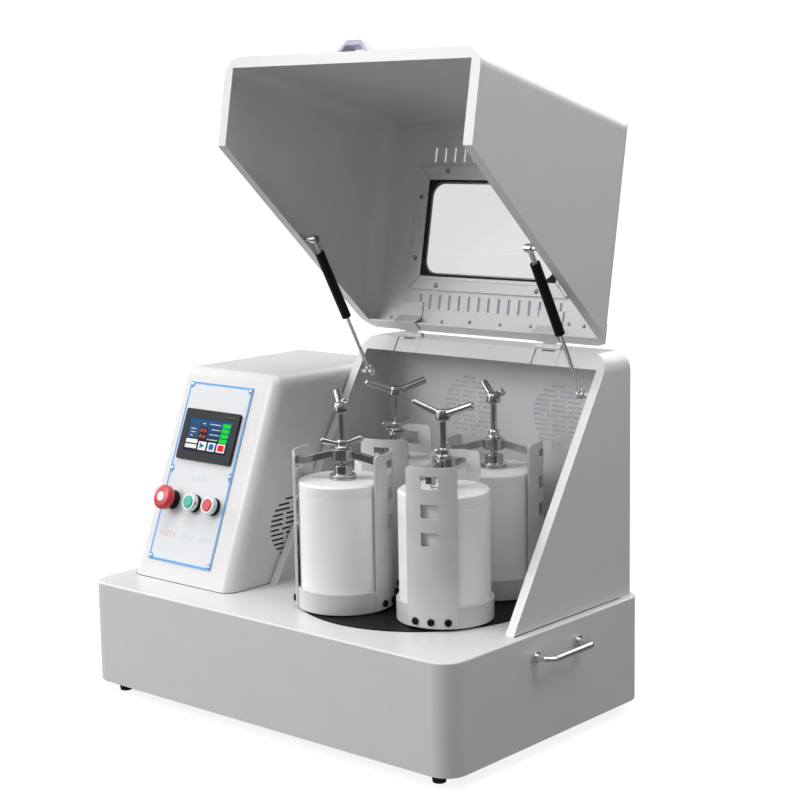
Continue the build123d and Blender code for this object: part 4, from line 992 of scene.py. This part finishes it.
def makePushButton(name, x, finish):
    b = pushButton
    place = panelPlace @ at(x, b["rise"], 0)
    dressNode(name + "_button", finish, b["edge"])
    form = bmesh.new()
    wall, side = b["cap"] + b["collarGap"], stepped(b["radius"], 0.0, b["collarSide"])
    turned(form, [(wall, side[0][1])] + side + [(wall, side[-1][1])], b["sides"], place,
           closed=True)
    collar = addPiece(name + "ButtonCollar", form, "base", "blackPlastic")
    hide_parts("control_panel")
    form = bmesh.new()
    wall, low = b["cap"] + b["ringGap"], b["ringLow"]
    turned(form, [(wall, low)] + stepped(b["radius"], low, b["ringSide"])
           + [(wall, low + b["ringLip"])], b["ringSides"], place, closed=True)
    ring = addPiece(name + "ButtonRing", form, "base", "chrome")
    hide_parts("control_panel")
    form = bmesh.new()
    inner, outer = b["cap"] + b["rimGap"], b["radius"] - b["rimInset"]
    low, top = b["front"] - b["rimDepth"], b["front"] + b["rimProud"]
    turned(form, [(inner, low), (outer, low), (outer, top - b["rimOuter"][1]),
                  (outer - b["rimOuter"][0], top), (inner + b["rimInner"][0], top),
                  (inner, top - b["rimInner"][1])], b["sides"], place, closed=True)
    addPiece(name + "ButtonRim", form, "base", "whitePlastic")


def makeEmergencyStop():
    e = estop
    place = panelPlace @ at(e["x"], pushButton["rise"], 0)
    r, low, high, disc = e["radius"], e["low"], e["high"], e["disc"]
    form = bmesh.new()
    wall, side = e["stem"] + e["stemGap"], stepped(e["collar"], 0.0, e["collarSide"])
    turned(form, [(wall, side[0][1])] + side + [(wall, side[-1][1])], e["sides"], place,
           closed=True)
    collar = addPiece("emergencyCollar", form, "base", "blackPlastic")
    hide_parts("control_panel")
    form = bmesh.new()
    brim = stepped(r, low, e["brim"])
    cap = [(0, brim[0][1])] + brim
    for step in range(e["roundSteps"] + 1):
        angle = math.radians(e["roundStart"] + e["roundSweep"] * step / e["roundSteps"])
        cap.append((r - e["roundOut"] + e["roundOut"] * math.cos(angle),
                    high - e["roundDrop"] + e["roundUp"] * math.sin(angle)))
    edge, floor = disc + e["discGap"], high - e["discSunk"]
    cap += [(r - e["crown"][0], high - e["crown"][1]), (edge, high), (edge, floor), (0, floor)]
    turned(form, cap, e["capSides"], place)
    head = addPiece("emergencyCap", form, "estop_button", "redPlastic")
    form = bmesh.new()
    under, rim, brow = (high - drop for drop in e["discDrop"])
    turned(form, [(0, under), (disc, under), (disc, rim), (disc - e["discEdge"], brow),
                  (0, high)], e["discSides"], place)
    addPiece("emergencyDisc", form, "estop_button", "whitePlastic")
    form = bmesh.new()
    foot, side = low - e["stemDepth"], stepped(e["skirt"], low, e["skirtSide"])
    turned(form, [(0, foot), (e["stem"], foot)] + side + [(0, side[-1][1])],
           e["sides"], place)
    skirt = addPiece("emergencySkirt", form, "estop_button", "chrome")
    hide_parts("estop_button")
    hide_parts("estop_button")


for buttonName, buttonX, buttonFinish in pushButton["places"]:
    makePushButton(buttonName, buttonX, buttonFinish)
makeEmergencyStop()
print("buttons ready")

# the touch screen: cells of its page, in shares of the display's width and height from top left
screen = {"x": -249.5, "rise": 240.0, "width": 99.0, "height": 54.0, "face": 6.1, "edge": 0.5,
          "step": 0.06, "slack": 0.1, "faceBelow": 0.2, "cellSunk": 0.1}
cells = [
    ("screenSlate", 0.02, 0.06, 0.26, 0.14), ("screenSlate", 0.30, 0.06, 0.13, 0.14),
    ("screenSlate", 0.01, 0.24, 0.27, 0.36), ("screenNavy", 0.28, 0.26, 0.18, 0.36),
    ("screenNavy", 0.0, 0.62, 1.0, 0.38),
    ("screenGreen", 0.79, 0.07, 0.18, 0.12), ("screenGreen", 0.785, 0.225, 0.18, 0.12),
    ("screenGreen", 0.78, 0.38, 0.18, 0.12), ("screenGreen", 0.775, 0.535, 0.18, 0.12),
    ("screenWhite", 0.02, 0.64, 0.27, 0.12), ("screenWhite", 0.02, 0.80, 0.27, 0.12),
    ("screenWhite", 0.33, 0.68, 0.18, 0.26), ("screenWhite", 0.55, 0.68, 0.17, 0.26),
    ("screenWhite", 0.76, 0.68, 0.19, 0.26),
]
dashes = [(0.07, 0.31, 0.14), (0.09, 0.41, 0.12), (0.09, 0.52, 0.08), (0.33, 0.125, 0.07),
          (0.50, 0.12, 0.26), (0.56, 0.275, 0.20), (0.53, 0.43, 0.23), (0.50, 0.585, 0.26)]


# each caption on the page is a row of short strokes, in the same shares
stroke = {"pitch": 0.022, "least": 0.012, "extra": 0.005, "tall": 0.028}
# the signs on the page: a triangle by its corners, two keys by centre, size and corner radius in
# millimetres, and round digits by the shares of their centres
signs = {"triangle": ((0.365, 0.72), (0.365, 0.90), (0.475, 0.81)),
         "keys": (("screenSky", 0.635, 0.81, 11.0, 10.0, 3.5),
                  ("screenRed", 0.855, 0.81, 13.5, 10.0, 0.8)),
         "digitsAcross": (0.33, 0.41), "digitsDown": (0.35, 0.53), "digit": (1.3, 2.9, 0.3),
         "digitSides": 28, "lift": 3.2}
lamp = {"places": (("lampGreen", 36.0), ("lampAmber", 42.0), ("lampAmber", 48.5)),
        "drop": 34.5, "seat": 6.5, "outline": ((0, -0.3), (0.9, -0.3), (0.8, 0.15), (0, 0.25)),
        "sides": 16}


def screenSpot(u, v):
    return (screen["x"] + (u - 0.5) * screen["width"],
            screen["rise"] + (0.5 - v) * screen["height"])


def onScreen(u, v, w, h):
    return rectangle(w * screen["width"], h * screen["height"],
                     *screenSpot(u + w / 2, v + h / 2))


def screenFinish(spot):
    # the display's own face takes the lit blue
    s = screen
    here = panelPlace.inverted() @ spot
    if (abs(here.x - s["x"]) < s["width"] / 2 + s["slack"]
            and abs(here.y - s["rise"]) < s["height"] / 2 + s["slack"]
            and -s["faceBelow"] < here.z - s["face"] < s["slack"]):
        return "screenBlue"


def makePage():
    s = screen
    layers = {}
    for finish, u, v, w, h in cells:
        form = layers.setdefault(finish, bmesh.new())
        lift = s["face"] + s["step"] * (2 if finish != "screenNavy" else 1)
        plate(form, onScreen(u, v, w, h), s["face"] - s["cellSunk"], lift, panelPlace)
    marks = bmesh.new()
    for u, v, w in dashes:
        for count in range(int(w / stroke["pitch"])):
            wide = stroke["least"] + stroke["extra"] * dice.random()
            plate(marks, onScreen(u + count * stroke["pitch"], v, wide, stroke["tall"]),
                  s["face"], s["face"] + 3 * s["step"], panelPlace)
    addPiece("screenCaptions", marks, "base", "screenWhite")
    for finish, form in layers.items():
        addPiece(finish + "Cells", form, "base", finish)


def makeSigns():
    low = screen["face"]
    high = low + signs["lift"] * screen["step"]
    form = bmesh.new()
    plate(form, [screenSpot(u, v) for u, v in signs["triangle"]], low, high, panelPlace)
    addPiece("screenTealSigns", form, "base", "screenTeal")
    for finish, u, v, width, height, corner in signs["keys"]:
        form = bmesh.new()
        plate(form, roundedRectangle(width, height, corner, *screenSpot(u, v)), low, high,
              panelPlace)
        addPiece(finish + "Signs", form, "base", finish)
    form = bmesh.new()
    hole, edge, thick = signs["digit"]
    for u in signs["digitsAcross"]:
        for v in signs["digitsDown"]:
            turned(form, [(hole, 0), (edge, 0), (edge, thick), (hole, thick)],
                   signs["digitSides"], panelPlace @ at(*screenSpot(u, v), low), closed=True)
    addPiece("screenOrangeSigns", form, "base", "screenOrange")


def makeLamps():
    for finish, along in lamp["places"]:
        form = bmesh.new()
        turned(form, lamp["outline"], lamp["sides"],
               panelPlace @ at(screen["x"] + along, screen["rise"] + lamp["drop"], lamp["seat"]))
        addPiece("screenLamp%d" % round(along), form, "base", finish)


dressNode("touch_screen", "screenPlastic", screen["edge"], screenFinish)
makePage()
makeSigns()
makeLamps()
print("touch screen ready")
